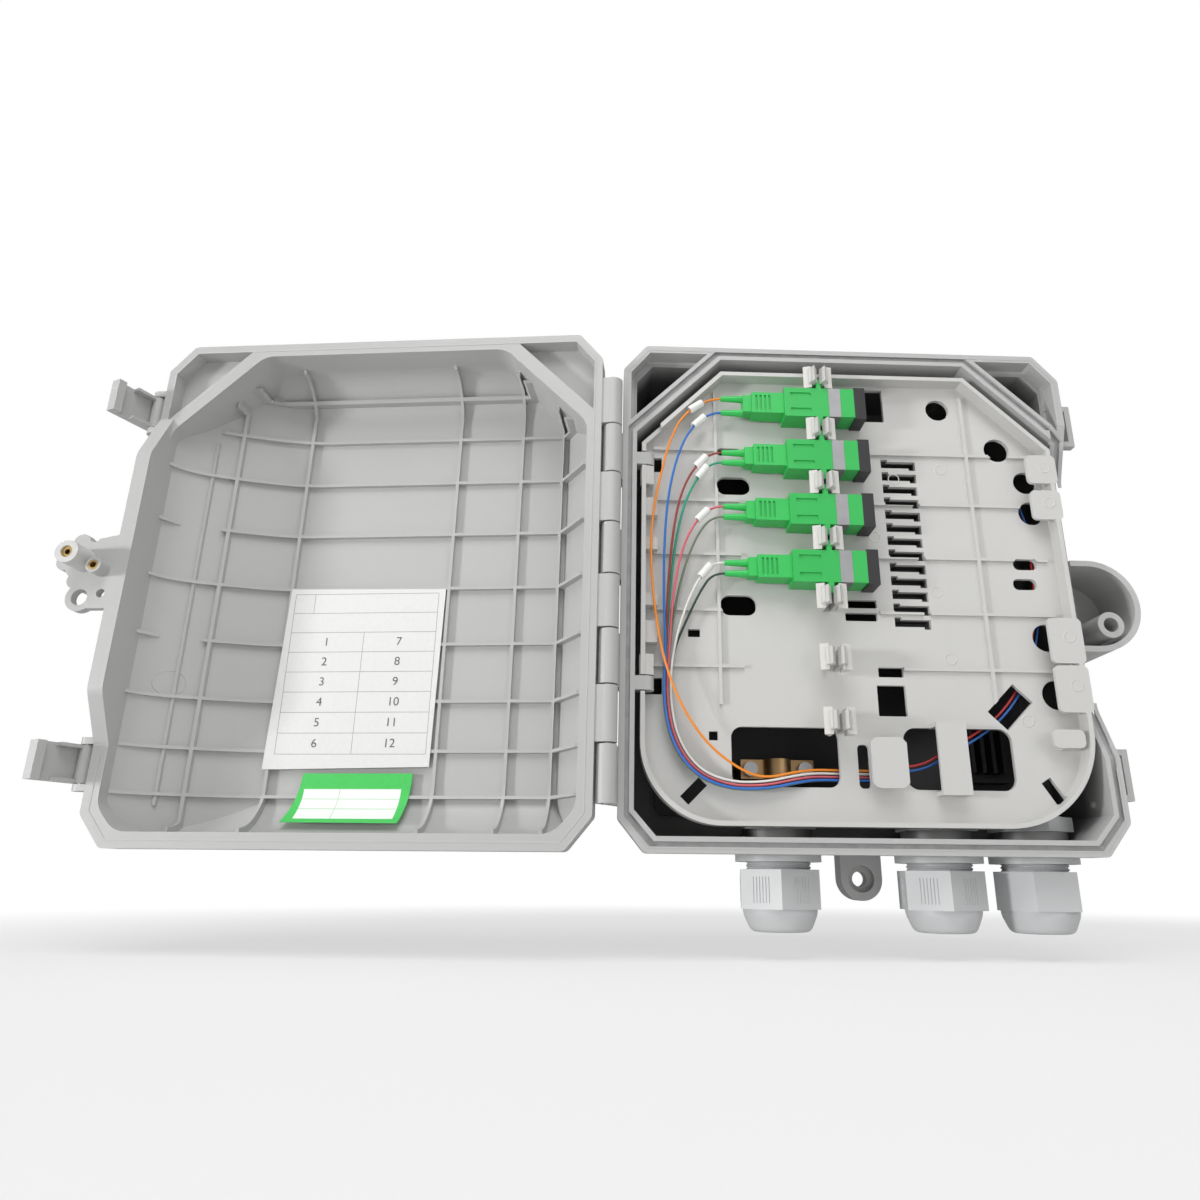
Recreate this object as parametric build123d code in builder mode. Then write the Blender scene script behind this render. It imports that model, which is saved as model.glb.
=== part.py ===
"""Fibre distribution box, open on its wall.

The origin is the centre of the base's back face. X runs right, Y into the wall and Z up,
in millimetres. The rim of the base faces the viewer at y = -BASE_D. The lid is drawn in the
frame of its own rim, as if shut, and that frame is swung open about the knuckle hinge.
"""

import math
import os

from build123d import *

os.makedirs("parts", exist_ok=True)

# Base tub
BODY_W = 174.0
BODY_H = 194.0
BASE_D = 42.0
WALL = 2.6
FLANGE = 2.8
FLANGE_D = 9.0
CORNER = (9.0, 11.0)
RUN_GAP = 0.3
FIT = 0.05
BITE = 1.0
CAVITY_X = BODY_W / 2 - WALL - FLANGE
CAVITY_Z = BODY_H / 2 - WALL - FLANGE
RIM_BAND = WALL + FLANGE

# Seal line: the cavity's outline, cut across both top corners
SEAL_TOP = (33.0, 33.0)
SEAL_BOTTOM = (7.5, 8.5)
GROOVE_IN = 1.7
GROOVE_W = 2.2
GROOVE_D = 3.0
SEAL_H = 1.9
POCKET_LIP = 3.0
POCKET_FLOOR = 5.0
POCKET_SCREW_IN = 13.5
POCKET_SCREW = (BODY_W / 2 - POCKET_SCREW_IN, BODY_H / 2 - POCKET_SCREW_IN)
SCREW_R = 2.7

# Dip of the parting line on the latch side
DIP = 9.0
DIP_IN = (31.0, 33.0)
DIP_RUN = (21.0, 19.0)
DIP_TOP = (BODY_H / 2 - DIP_IN[0], BODY_H / 2 - DIP_IN[0] - DIP_RUN[0])
DIP_LOW = (DIP_IN[1] - BODY_H / 2, DIP_IN[1] + DIP_RUN[1] - BODY_H / 2)
DIP_ROUND = 9.0
STEP_X = BODY_W / 2 - 11.0

# Lid
LID_D = 30.0
LID_OPEN = 185.87
LID_POCKET_D = 6.4
DOME_ROUND = 16.0
DOME_FLAT = 30.0
DOME_EDGE = 5.0
DOME_CORNER = 12.0
RIM_ROUND = 2.4
RIB_FOOT = 10.0
RIB_T = 1.2
RIB_H = 1.9
SEAM = 0.3

# Knuckle hinge of the lid
HINGE_OUT = 4.0
HINGE_RISE = 3.87
KNUCKLE_R = 3.5
KNUCKLES = 8
KNUCKLE_ENDS = (19.0, 15.0)
KNUCKLE_TOP = BODY_H / 2 - KNUCKLE_ENDS[0]
KNUCKLE_PITCH = (BODY_H - sum(KNUCKLE_ENDS)) / KNUCKLES
KNUCKLE_GAP = 0.6
PIN_R = 1.5
ARM_FOOT = 8.0
HINGE_X = -BODY_W / 2 - HINGE_OUT
HINGE_Y = -BASE_D - HINGE_RISE

# Latches and their catches
LATCH_Z = BODY_H / 2 - 28.0
LATCH_W = 13.0
LATCH_L = 17.5
LATCH_T = 2.0
LATCH_WALL = 3.0
LATCH_WALL_T = 1.2
LATCH_BARREL = 2.6
LATCH_PIN_R = 1.1
LATCH_EAR_T = 2.4
LATCH_RISE = 4.6
LATCH_REST = 20.0
HOOK_GRIP = 0.5
HOOK_IN = 2.0
CATCH_W = 18.0
CATCH_T = 2.2
CATCH_OUT = 6.4
CATCH_AT = 6.0
CATCH_H = 3.4
LATCH_OUT = CATCH_OUT + 0.8 - LATCH_BARREL

# Lock ear of the lid and lock cup of the base
LOCK_X = BODY_W / 2 + 11.0
LOCK_Z = 2.0
EAR_X = BODY_W / 2 + 5.0
EAR_Z = -5.5
EAR_R = 18.0
EAR_T = 3.0
CUP_D = 24.0
CUP_WALL = 2.2
EAR_PLATE_R = 7.6
EAR_SCALLOPS = 5
SCALLOP_R = 3.2
EAR_BORDER = 2.2
EAR_HOLES = (((LOCK_X - 0.8, LOCK_Z - 13.8), 3.0), ((LOCK_X - 8.4, LOCK_Z - 12.4), 1.6))
EAR_ROOT = (
    (LOCK_X - 14.0, LOCK_Z + 10.5), (LOCK_X - 4.0, LOCK_Z + 8.5), (LOCK_X + 3.0, LOCK_Z), (LOCK_X + 2.0, LOCK_Z - 14.0),
    (LOCK_X - 3.0, LOCK_Z - 18.0), (LOCK_X - 14.0, LOCK_Z - 18.0),
)
GUIDE = (LOCK_X - 7.2, LOCK_Z - 3.4)
GUIDE_R = 2.8
GUIDE_BORE = 1.9
GUIDE_L = 5.0
BOSS_X = LOCK_X - 0.5
BOSS_Z = LOCK_Z - 15.0
BOSS_R = 5.0
BOSS_BORE = 2.8
BOSS_DEEP = 14.0
INSERT_BORE = 1.1
KNOB_R = 6.5
KNOB_H = 8.0
KNOB_LOBES = 5
LOBE_R = 2.6
LOBE_OUT = 8.0
STEM_R = 4.2
STEM_L = 13.0
NUT_R = 2.2
NUT_BORE = 1.0
NUT_L = 9.0

# Swing tray
TRAY_X = CAVITY_X - 2.0
TRAY_TOP = CAVITY_Z - 5.1
TRAY_LOW = 3.6 - CAVITY_Z
TRAY_CUT = 31.0
TRAY_ROUND_L = 28.0
TRAY_ROUND_R = 34.0
TRAY_FRONT = 0.5
TRAY_WALL = 1.6
TRAY_RELIEF_AT = (3.2 - TRAY_X, TRAY_TOP - 28.3)
TRAY_RELIEF = (8.0, 4.8, 8.6)
TRAY_H = 6.0
TRAY_FLOOR = 1.8
TRAY_RIB_H = 1.2
RIB_BREAK = (-42.0, 9.0)
TRAY_RIB_T = 1.2
TAB_T = 1.4
TRAY_AXIS_X = 2.0 - TRAY_X
TRAY_AXIS_BACK = 3.4
HOOK_HEIGHTS = (TRAY_TOP - 38.9, TRAY_LOW + 48.2)
HOOK_H = 5.0
HOOK_GAP = 0.5
EAR_H = 7.5
TRAY_AXIS_Y = -BASE_D + TRAY_AXIS_BACK
TRAY_PIN_R = 1.2
TRAY_EAR_R = 2.8
FLOOR_Y = -BASE_D + TRAY_FRONT + TRAY_H

# Adapters, 6 places on the tray and 4 fitted
ROW_TOP = TRAY_TOP - 15.0
ROW_PITCH = 22.6
ROW_FOOT = 23.0
ROWS = int((ROW_TOP - TRAY_LOW - ROW_FOOT) / ROW_PITCH)
FITTED = 4
ADAPTER_X = -24.5
ADAPTER_L = 27.3
ADAPTER_H = 12.4
ADAPTER_D = 9.4
FLANGE_T = 2.0
FLANGE_H = 20.4
BAND_X = -7.2
BAND_W = 4.7
BAND_T = 0.4
KEY_DEEP = 0.5
KEY_X = 6.4
KEY_Z = 3.4
KEY_L = 8.0
KEY_W = 1.6
GRIP_RIBS = 4
GRIP_FIRST = 1.8
GRIP_PITCH = 1.7
CAP_L = 4.4
CAP_LIP = 0.6
CLIP_T = 1.5
CLIP_W = 6.4
CLIP_RISE = 3.0
BARB_IN = 0.9
BARB_OUT = 1.1
CLIP_GAP = 0.3

# Connectors and fibres
PLUG_L = 12.6
PLUG_H = 8.8
PLUG_D = 7.2
PLUG_NECK = 3.3
BOOT_L = 8.5
BOOT_R = 1.5
BOOT_TIP_R = 1.0
BOOT_SPREAD = {"1": 3.1, "2": 2.1, "3": 2.1, "4": 2.1}
FIBRE_R = 0.45
SLEEVE_R = 1.5
SLEEVE_BORE = 0.85
SLEEVE_L = 6.0
BOOT_RUN = 4.4

# Cable glands
GLAND_XS = (-29.1, BODY_W / 2 - 58.1, BODY_W / 2 - 23.4)
GLAND_BACK = 17.5
GLAND_R = 11.2
GLAND_BORE = 7.0
COLLAR_R = 15.2
COLLAR_T = 4.8
NECK_L = 2.6
NUT_AF = 27.0
NUT_HEX = 13.0
DOME_H = 7.5
DOME_R = 13.0
DOME_HOLE = 6.6
LOCKNUT_T = 5.0
LOCKNUT_AF = 25.0
GLAND_SEAT = 3.6
GLAND_IN = 9.0
BUSH_BORE = 4.6

# Lug below the base
LUG_X = 3.3
LUG_R = 7.6
LUG_DROP = BODY_H / 2 + 7.5
LUG_T = 8.0
LUG_SINK_R = 4.7
LUG_SINK_D = 3.0

# Splice floor, clamp and cards
PLATE_T = 2.0
PLATE_INSET = 9.2
COMB_TOP = TRAY_TOP - 35.0
COMB_PITCH = 5.4
COMB_ROWS = 13
COMB_X = (14.5, 28.0)
COMB_SLOT = 2.8
TOOTH = (2.6, 1.8)
HOLDER_T = 4.0
CLAMP_X = -28.0
CLAMP_Z = 25.1 - CAVITY_Z
CLAMP_L = 27.0
CLAMP_W = 7.0
CLAMP_T = 1.2
POST_R = 3.4
POST_H = 14.0
CARD_T = 0.3


def eight_sided(half_x, half_z, top, low, grow=0.0):
    """Corner points of a rectangle with cut corners, its sides moved out by grow."""
    def corner(cut):
        run, drop = cut
        slope = math.hypot(run, drop)
        reach = drop * half_x + run * (half_z - drop) + grow * slope
        new_drop = half_z + grow - (reach - drop * (half_x + grow)) / run
        return new_drop * run / drop, new_drop

    (top_x, top_z), (low_x, low_z) = corner(top), corner(low)
    x, z = half_x + grow, half_z + grow
    return [
        (-x + top_x, z), (x - top_x, z), (x, z - top_z), (x, -z + low_z),
        (x - low_x, -z), (-x + low_x, -z), (-x, -z + low_z), (-x, z - top_z),
    ]


def rim_points(grow=0.0):
    return eight_sided(BODY_W / 2, BODY_H / 2, CORNER, CORNER, grow)


def seal_points(grow=0.0):
    return eight_sided(CAVITY_X, CAVITY_Z, SEAL_TOP, SEAL_BOTTOM, grow)


def facing(y):
    """Plane across the box at depth y that looks at the viewer."""
    return Plane(origin=(0, y, 0), x_dir=(1, 0, 0), z_dir=(0, -1, 0))


def level(z):
    """Horizontal plane at height z, with X right and Y into the wall."""
    return Plane.XY.offset(z)


SWING = math.radians(-LID_OPEN)
LID_RIGHT = (math.cos(SWING), math.sin(SWING), 0)
LID_OUT = (math.sin(SWING), -math.cos(SWING), 0)
LID_REST = Plane(
    origin=(
        HINGE_X - LID_RIGHT[0] * HINGE_X - LID_OUT[0] * HINGE_RISE,
        HINGE_Y - LID_RIGHT[1] * HINGE_X - LID_OUT[1] * HINGE_RISE,
        0,
    ),
    x_dir=LID_RIGHT,
    z_dir=LID_OUT,
)


def lid_at(out):
    """Plane parallel to the lid's rim, out millimetres from the parting line."""
    return LID_REST.offset(out)


def lid_level(z=0.0):
    """Plane square to the hinge axis: x along the lid, y out from its rim."""
    origin = (LID_REST.origin.X, LID_REST.origin.Y, z)
    return Plane(origin=origin, x_dir=LID_RIGHT, z_dir=(0, 0, -1))


def lid_end(x):
    """Plane square to the lid's width at x: x up, y out from its rim."""
    origin = LID_REST.origin + LID_REST.x_dir * x
    return Plane(origin=origin, x_dir=(0, 0, 1), z_dir=LID_RIGHT)


def end_at(x):
    """Plane square to X: its x runs into the wall and its y up."""
    return Plane(origin=(x, 0, 0), x_dir=(0, 1, 0), z_dir=(1, 0, 0))


def knuckle_span(k):
    """Lowest height and length of knuckle k, counted from the top."""
    low = KNUCKLE_TOP - (k + 1) * KNUCKLE_PITCH + KNUCKLE_GAP / 2
    return low, KNUCKLE_PITCH - KNUCKLE_GAP


def dip_points(edge, deep, far):
    """Side outline of the stepped parting line, from edge to deep, closed at far."""
    return [
        (far, BODY_H), (edge, BODY_H), (edge, DIP_TOP[0]), (deep, DIP_TOP[1]),
        (deep, DIP_LOW[1]), (edge, DIP_LOW[0]), (edge, -BODY_H), (far, -BODY_H),
    ]


rim_y = -BASE_D
bottom_z = -CAVITY_Z - WALL


def seal_band(slack, deep, high):
    """Loop along the seal line between two depths below the parting line, stepped down with it."""
    with BuildPart() as band:
        with BuildSketch(facing(rim_y + DIP + deep)):
            Polygon(*seal_points(GROOVE_IN + GROOVE_W - slack), align=None)
            Polygon(*seal_points(GROOVE_IN + slack), align=None, mode=Mode.SUBTRACT)
        extrude(amount=2 * DIP + deep)
        for depth, far in ((deep, rim_y + BASE_D), (high, rim_y - BASE_D)):
            edge = rim_y + depth
            with BuildSketch(end_at(STEP_X)):
                Polygon(*dip_points(edge, edge + DIP, far), align=None)
            extrude(amount=BODY_W, mode=Mode.SUBTRACT)
            with BuildSketch(end_at(STEP_X)):
                Polygon((edge, -BODY_H), (edge, BODY_H), (far, BODY_H), (far, -BODY_H), align=None)
            extrude(amount=-2 * BODY_W, mode=Mode.SUBTRACT)
    return band.part


# Base shell: tub, seal groove, corner pockets, knuckles, catches, lock cup and lug
with BuildPart() as base_shell:
    with BuildSketch(facing(0)) as tub:
        Polygon(*rim_points(-FLANGE), align=None)
        fillet(tub.vertices(), RIM_ROUND)
    extrude(amount=BASE_D)
    with BuildSketch(facing(rim_y + FLANGE_D)) as rim:
        Polygon(*rim_points(), align=None)
        fillet(rim.vertices(), RIM_ROUND)
    extrude(amount=FLANGE_D)
    with BuildSketch(facing(-WALL)):
        Polygon(*seal_points(), align=None)
    extrude(amount=BASE_D, mode=Mode.SUBTRACT)
    with BuildSketch(facing(-POCKET_FLOOR)):
        Polygon(*rim_points(-RIM_BAND), align=None)
        Polygon(*seal_points(RIM_BAND), align=None, mode=Mode.SUBTRACT)
    extrude(amount=BASE_D, mode=Mode.SUBTRACT)
    with BuildSketch(facing(rim_y + FLANGE_D - WALL)):
        Polygon(*rim_points(-POCKET_LIP), align=None)
        Polygon(*seal_points(RIM_BAND), align=None, mode=Mode.SUBTRACT)
    extrude(amount=BASE_D, mode=Mode.SUBTRACT)
    # Lock cup on the right wall
    with BuildSketch(facing(rim_y + DIP + CUP_D)):
        with Locations((EAR_X, EAR_Z)):
            Circle(EAR_R)
            Rectangle(EAR_X - CAVITY_X - BITE, 2 * EAR_R, align=(Align.MAX, Align.CENTER))
    extrude(amount=CUP_D)
    with BuildSketch(facing(rim_y + DIP + CUP_D - CUP_WALL)):
        with Locations((EAR_X, EAR_Z)):
            Circle(EAR_R - CUP_WALL)
            Rectangle(EAR_X - CAVITY_X - WALL, 2 * (EAR_R - CUP_WALL), align=(Align.MAX, Align.CENTER))
    extrude(amount=CUP_D, mode=Mode.SUBTRACT)
    with BuildSketch(facing(rim_y + DIP + CUP_D - CUP_WALL)):
        with Locations((BOSS_X, BOSS_Z)):
            Circle(BOSS_R)
    extrude(amount=CUP_D - CUP_WALL)
    with BuildSketch(facing(rim_y + DIP + BOSS_DEEP)):
        with Locations((BOSS_X, BOSS_Z)):
            Circle(BOSS_BORE)
    extrude(amount=BOSS_DEEP, mode=Mode.SUBTRACT)
    # Stepped parting line on the latch side
    with BuildSketch(end_at(CAVITY_X - BITE)) as dip_side:
        Polygon(*dip_points(rim_y, rim_y + DIP, rim_y - DIP), align=None)
        fillet(dip_side.vertices().sort_by(Axis.X)[-2:], DIP_ROUND)
    extrude(amount=RIM_BAND + 2 * BITE, mode=Mode.SUBTRACT)
    add(seal_band(0.0, GROOVE_D, -BITE), mode=Mode.SUBTRACT)
    # Knuckles and their arms
    for k in range(1, KNUCKLES, 2):
        low, length = knuckle_span(k)
        with BuildSketch(level(low)):
            with Locations((HINGE_X, HINGE_Y)):
                Circle(KNUCKLE_R)
            Polygon(
                (HINGE_X - KNUCKLE_R, HINGE_Y),
                (HINGE_X + KNUCKLE_R, HINGE_Y),
                (HINGE_X + KNUCKLE_R, rim_y + SEAM),
                (-BODY_W / 2 + BITE, rim_y + SEAM),
                (-BODY_W / 2 + BITE, rim_y + ARM_FOOT),
                (-BODY_W / 2, rim_y + ARM_FOOT),
                align=None,
            )
        extrude(amount=length)
    with BuildSketch(level(-BODY_H / 2)):
        with Locations((HINGE_X, HINGE_Y)):
            Circle(PIN_R + FIT)
    extrude(amount=BODY_H, mode=Mode.SUBTRACT)
    # Latch catches: an open frame on the right wall, with a lip that the latch hooks
    for z in (LATCH_Z, -LATCH_Z):
        with BuildSketch(facing(rim_y + CATCH_AT + CATCH_H)):
            with Locations((BODY_W / 2 - FLANGE - BITE, z)):
                Rectangle(CATCH_OUT + FLANGE + BITE, CATCH_W, align=(Align.MIN, Align.CENTER))
            with Locations((BODY_W / 2 - FLANGE - BITE, z)):
                Rectangle(
                    CATCH_OUT + FLANGE + BITE - CATCH_T, CATCH_W - 2 * CATCH_T,
                    align=(Align.MIN, Align.CENTER), mode=Mode.SUBTRACT,
                )
        extrude(amount=CATCH_H)
    # Bottom lug
    with BuildSketch(facing(0)):
        with Locations((LUG_X, -LUG_DROP)):
            Circle(LUG_R)
            Rectangle(2 * LUG_R, LUG_DROP + bottom_z + BITE, align=(Align.CENTER, Align.MIN))
    extrude(amount=LUG_T)
    with BuildSketch(facing(0)):
        with Locations((LUG_X, -LUG_DROP), POCKET_SCREW, (-POCKET_SCREW[0], POCKET_SCREW[1])):
            Circle(SCREW_R)
    extrude(amount=LUG_T + BITE, mode=Mode.SUBTRACT)
    with BuildSketch(facing(-LUG_T + LUG_SINK_D)):
        with Locations((LUG_X, -LUG_DROP)):
            Circle(LUG_SINK_R)
    extrude(amount=LUG_SINK_D, mode=Mode.SUBTRACT)
    # Gland holes, each with a raised seat inside
    with BuildSketch(level(-CAVITY_Z - BITE)):
        for x in GLAND_XS:
            with Locations((x, -GLAND_BACK)):
                Circle(LOCKNUT_AF / 2)
    extrude(amount=GLAND_SEAT + BITE)
    with BuildSketch(level(-BODY_H / 2 - BITE)):
        for x in GLAND_XS:
            with Locations((x, -GLAND_BACK)):
                Circle(GLAND_R + FIT)
    extrude(amount=WALL + FLANGE + GLAND_SEAT + 2 * BITE, mode=Mode.SUBTRACT)
    # Clamp posts and hooks of the tray hinge
    with BuildSketch(facing(-WALL)):
        for side in (-1, 1):
            with Locations((CLAMP_X + side * (CLAMP_L / 2 - POST_R), CLAMP_Z)):
                Circle(POST_R)
    extrude(amount=POST_H)
    with BuildSketch(facing(-WALL - POST_H + 8)):
        for side in (-1, 1):
            with Locations((CLAMP_X + side * (CLAMP_L / 2 - POST_R), CLAMP_Z)):
                Circle(1.3)
    extrude(amount=8, mode=Mode.SUBTRACT)
    for z in HOOK_HEIGHTS:
        with BuildSketch(level(z - HOOK_H / 2)):
            with Locations((TRAY_AXIS_X, TRAY_AXIS_Y)):
                Circle(TRAY_EAR_R)
                Rectangle(TRAY_AXIS_X + CAVITY_X + BITE, 2 * TRAY_EAR_R, align=(Align.MAX, Align.CENTER))
        extrude(amount=HOOK_H)
        with BuildSketch(level(z - HOOK_H / 2)):
            with Locations((TRAY_AXIS_X, TRAY_AXIS_Y)):
                Circle(TRAY_PIN_R + FIT)
        extrude(amount=HOOK_H, mode=Mode.SUBTRACT)
base_shell.part.label = "base_shell"
export_step(base_shell.part, "parts/base_shell.step")

# Door seal: one loop of cord in the groove, stepped down with the parting line
with BuildPart() as door_seal:
    add(seal_band(FIT, GROOVE_D, GROOVE_D - SEAL_H))
door_seal.part.label = "door_seal"
export_step(door_seal.part, "parts/door_seal.step")

# Hinge pin of the lid
with BuildPart() as lid_hinge_pin:
    with BuildSketch(level(KNUCKLE_TOP - KNUCKLES * KNUCKLE_PITCH)):
        with Locations((HINGE_X, HINGE_Y)):
            Circle(PIN_R)
    extrude(amount=KNUCKLES * KNUCKLE_PITCH)
lid_hinge_pin.part.label = "lid_hinge_pin"
export_step(lid_hinge_pin.part, "parts/lid_hinge_pin.step")


def dome_length(depth, shrink):
    """Outline of the dome along the box, from the rim out to depth."""
    x = CAVITY_X + WALL - shrink
    with BuildSketch(lid_level()) as outline:
        with BuildLine():
            Polyline((-x, 0), (-x, depth - DOME_ROUND), (-x + 11, depth), (DOME_FLAT, depth))
            Spline((DOME_FLAT, depth), (DOME_FLAT + 26, depth - 6), (x, DOME_EDGE), tangents=((1, 0), (1, -1.6)))
            Polyline((x, DOME_EDGE), (x, 0), (-x, 0))
        make_face()
    return outline


def dome_height(depth, shrink):
    """Outline of the dome up the box, from the rim out to depth."""
    z = CAVITY_Z + WALL - shrink
    with BuildSketch(lid_end(0)) as outline:
        with BuildLine():
            Polyline((-z, 0), (-z, depth - DOME_ROUND))
            Spline((-z, depth - DOME_ROUND), (-z + 5, depth - 5), (-z + 16, depth), tangents=((0, 1), (1, 0)))
            Line((-z + 16, depth), (z - 16, depth))
            Spline((z - 16, depth), (z - 5, depth - 5), (z, depth - DOME_ROUND), tangents=((1, 0), (0, -1)))
            Polyline((z, depth - DOME_ROUND), (z, 0), (-z, 0))
        make_face()
    return outline


def dome(shrink):
    """Solid pillow of the lid with every face shrink inside the outer one."""
    depth = LID_D - shrink
    with BuildPart() as form:
        with BuildSketch(lid_at(SEAM)) as foot:
            Polygon(*seal_points(WALL - shrink), align=None)
            fillet(foot.vertices(), DOME_CORNER - shrink)
        extrude(amount=depth)
        extrude(dome_length(depth, shrink).sketch, amount=BODY_H, both=True, mode=Mode.INTERSECT)
        extrude(dome_height(depth, shrink).sketch, amount=BODY_W, both=True, mode=Mode.INTERSECT)
    return form.part


hollow = dome(WALL)
rib_line = dome(WALL + RIB_H)
RIB_XS = (-68.5, -52.0, -26.0, 36.5, 62.0)
RIB_ZS = (83.0, 66.0, 46.5, 24.0, 1.5, -21.0, -43.0, -61.5, -78.0)

# Ribs that follow the inside of the dome
with BuildPart() as lattice:
    with BuildSketch(lid_at(SEAM)):
        for x in RIB_XS:
            with Locations((x, 0)):
                Rectangle(RIB_T, 2 * CAVITY_Z)
        for z in RIB_ZS:
            with Locations((-8, z)):
                Rectangle(2 * CAVITY_X - 18, RIB_T)
    extrude(amount=LID_D)
    with BuildSketch(lid_at(SEAM)):
        Rectangle(BODY_W, BODY_H)
    extrude(amount=RIB_FOOT, mode=Mode.SUBTRACT)
    add(hollow, mode=Mode.INTERSECT)
    add(rib_line, mode=Mode.SUBTRACT)

# Lid shell: rim flange, dome, corner pockets, knuckles, latch ears and lock ear
with BuildPart() as lid_shell:
    with BuildSketch(lid_at(SEAM)) as lid_rim:
        Polygon(*rim_points(), align=None)
        fillet(lid_rim.vertices(), RIM_ROUND)
    extrude(amount=FLANGE_D - SEAM)
    add(dome(0.0))
    # Raised rim that fills the dip of the base
    with BuildSketch(lid_end(CAVITY_X)) as step_side:
        Polygon(*[(z, -out) for out, z in dip_points(-BITE, DIP - SEAM, -SEAM - BITE)][2:6], align=None)
        fillet(step_side.vertices().sort_by(Axis.Y)[:2], DIP_ROUND)
    extrude(amount=RIM_BAND)
    # Lock ear: a scalloped plate round the lock, a holed foot and a boss with an insert
    with BuildSketch(lid_at(SEAM - DIP)):
        with Locations((LOCK_X, LOCK_Z)):
            Circle(EAR_PLATE_R)
            with PolarLocations(EAR_PLATE_R, EAR_SCALLOPS, start_angle=70):
                Circle(SCALLOP_R)
        for (x, z), radius in EAR_HOLES:
            with Locations((x, z)):
                Circle(radius + EAR_BORDER)
        Polygon(*EAR_ROOT, align=None)
        with Locations((LOCK_X, LOCK_Z)):
            Circle(STEM_R + FIT, mode=Mode.SUBTRACT)
        for (x, z), radius in EAR_HOLES:
            with Locations((x, z)):
                Circle(radius, mode=Mode.SUBTRACT)
    extrude(amount=EAR_T)
    with BuildSketch(lid_at(SEAM - DIP + EAR_T)):
        with Locations(GUIDE):
            Circle(GUIDE_R)
    extrude(amount=-(GUIDE_L + EAR_T))
    with BuildSketch(lid_at(SEAM - DIP - GUIDE_L)):
        with Locations(GUIDE):
            Circle(GUIDE_BORE)
    extrude(amount=GUIDE_L, mode=Mode.SUBTRACT)
    add(hollow, mode=Mode.SUBTRACT)
    with BuildSketch(lid_at(-DIP - BITE)) as mouth:
        Polygon(*seal_points(), align=None)
        fillet(mouth.vertices(), DOME_CORNER - WALL)
    extrude(amount=DIP + BITE + SEAM, mode=Mode.SUBTRACT)
    with BuildSketch(lid_at(SEAM)):
        Polygon(*rim_points(-POCKET_LIP), align=None)
        Polygon(*seal_points(RIM_BAND), align=None, mode=Mode.SUBTRACT)
    extrude(amount=LID_POCKET_D, mode=Mode.SUBTRACT)
    add(lattice.part)
    for k in range(0, KNUCKLES, 2):
        low, length = knuckle_span(k)
        with BuildSketch(lid_level(low + length)):
            with Locations((HINGE_X, HINGE_RISE)):
                Circle(KNUCKLE_R)
            Polygon(
                (HINGE_X, HINGE_RISE - KNUCKLE_R + 0.2),
                (-BODY_W / 2 + BITE, HINGE_RISE - KNUCKLE_R + 0.4),
                (-BODY_W / 2 + BITE, ARM_FOOT),
                (HINGE_X, HINGE_RISE + KNUCKLE_R),
                align=None,
            )
        extrude(amount=length)
    with BuildSketch(lid_level(BODY_H / 2)):
        with Locations((HINGE_X, HINGE_RISE)):
            Circle(PIN_R + FIT)
    extrude(amount=BODY_H, mode=Mode.SUBTRACT)
    # Ears that carry the latches
    for z in (LATCH_Z, -LATCH_Z):
        for side in (-1, 1):
            middle = z + side * (LATCH_W / 2 + RUN_GAP + LATCH_EAR_T / 2)
            with BuildSketch(lid_level(middle + LATCH_EAR_T / 2)):
                with Locations((BODY_W / 2 + LATCH_OUT, LATCH_RISE)):
                    Circle(LATCH_BARREL)
                    Rectangle(LATCH_OUT + BITE, 2 * LATCH_BARREL, align=(Align.MAX, Align.CENTER))
            extrude(amount=LATCH_EAR_T)
        with BuildSketch(lid_level(z + LATCH_W)):
            with Locations((BODY_W / 2 + LATCH_OUT, LATCH_RISE)):
                Circle(LATCH_PIN_R + FIT)
        extrude(amount=2 * LATCH_W, mode=Mode.SUBTRACT)
lid_shell.part.label = "lid_shell"
export_step(lid_shell.part, "parts/lid_shell.step")


def tray_outline(shrink):
    """Polygon with cut top corners and round lower corners, as a face on a plane that looks out."""
    x, top, low, cut = TRAY_X - shrink, TRAY_TOP - shrink, TRAY_LOW + shrink, TRAY_CUT - 0.586 * shrink
    left, right = TRAY_ROUND_L - shrink, TRAY_ROUND_R - shrink
    with BuildSketch() as outline:
        with BuildLine():
            Polyline((-x, low + left), (-x, top - cut), (-x + cut, top), (x - cut, top), (x, top - cut),
                     (x, low + right))
            RadiusArc((x, low + right), (x - right, low), right)
            Line((x - right, low), (-x + left, low))
            RadiusArc((-x + left, low), (-x, low + left), left)
        make_face()
    return outline.sketch


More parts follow.
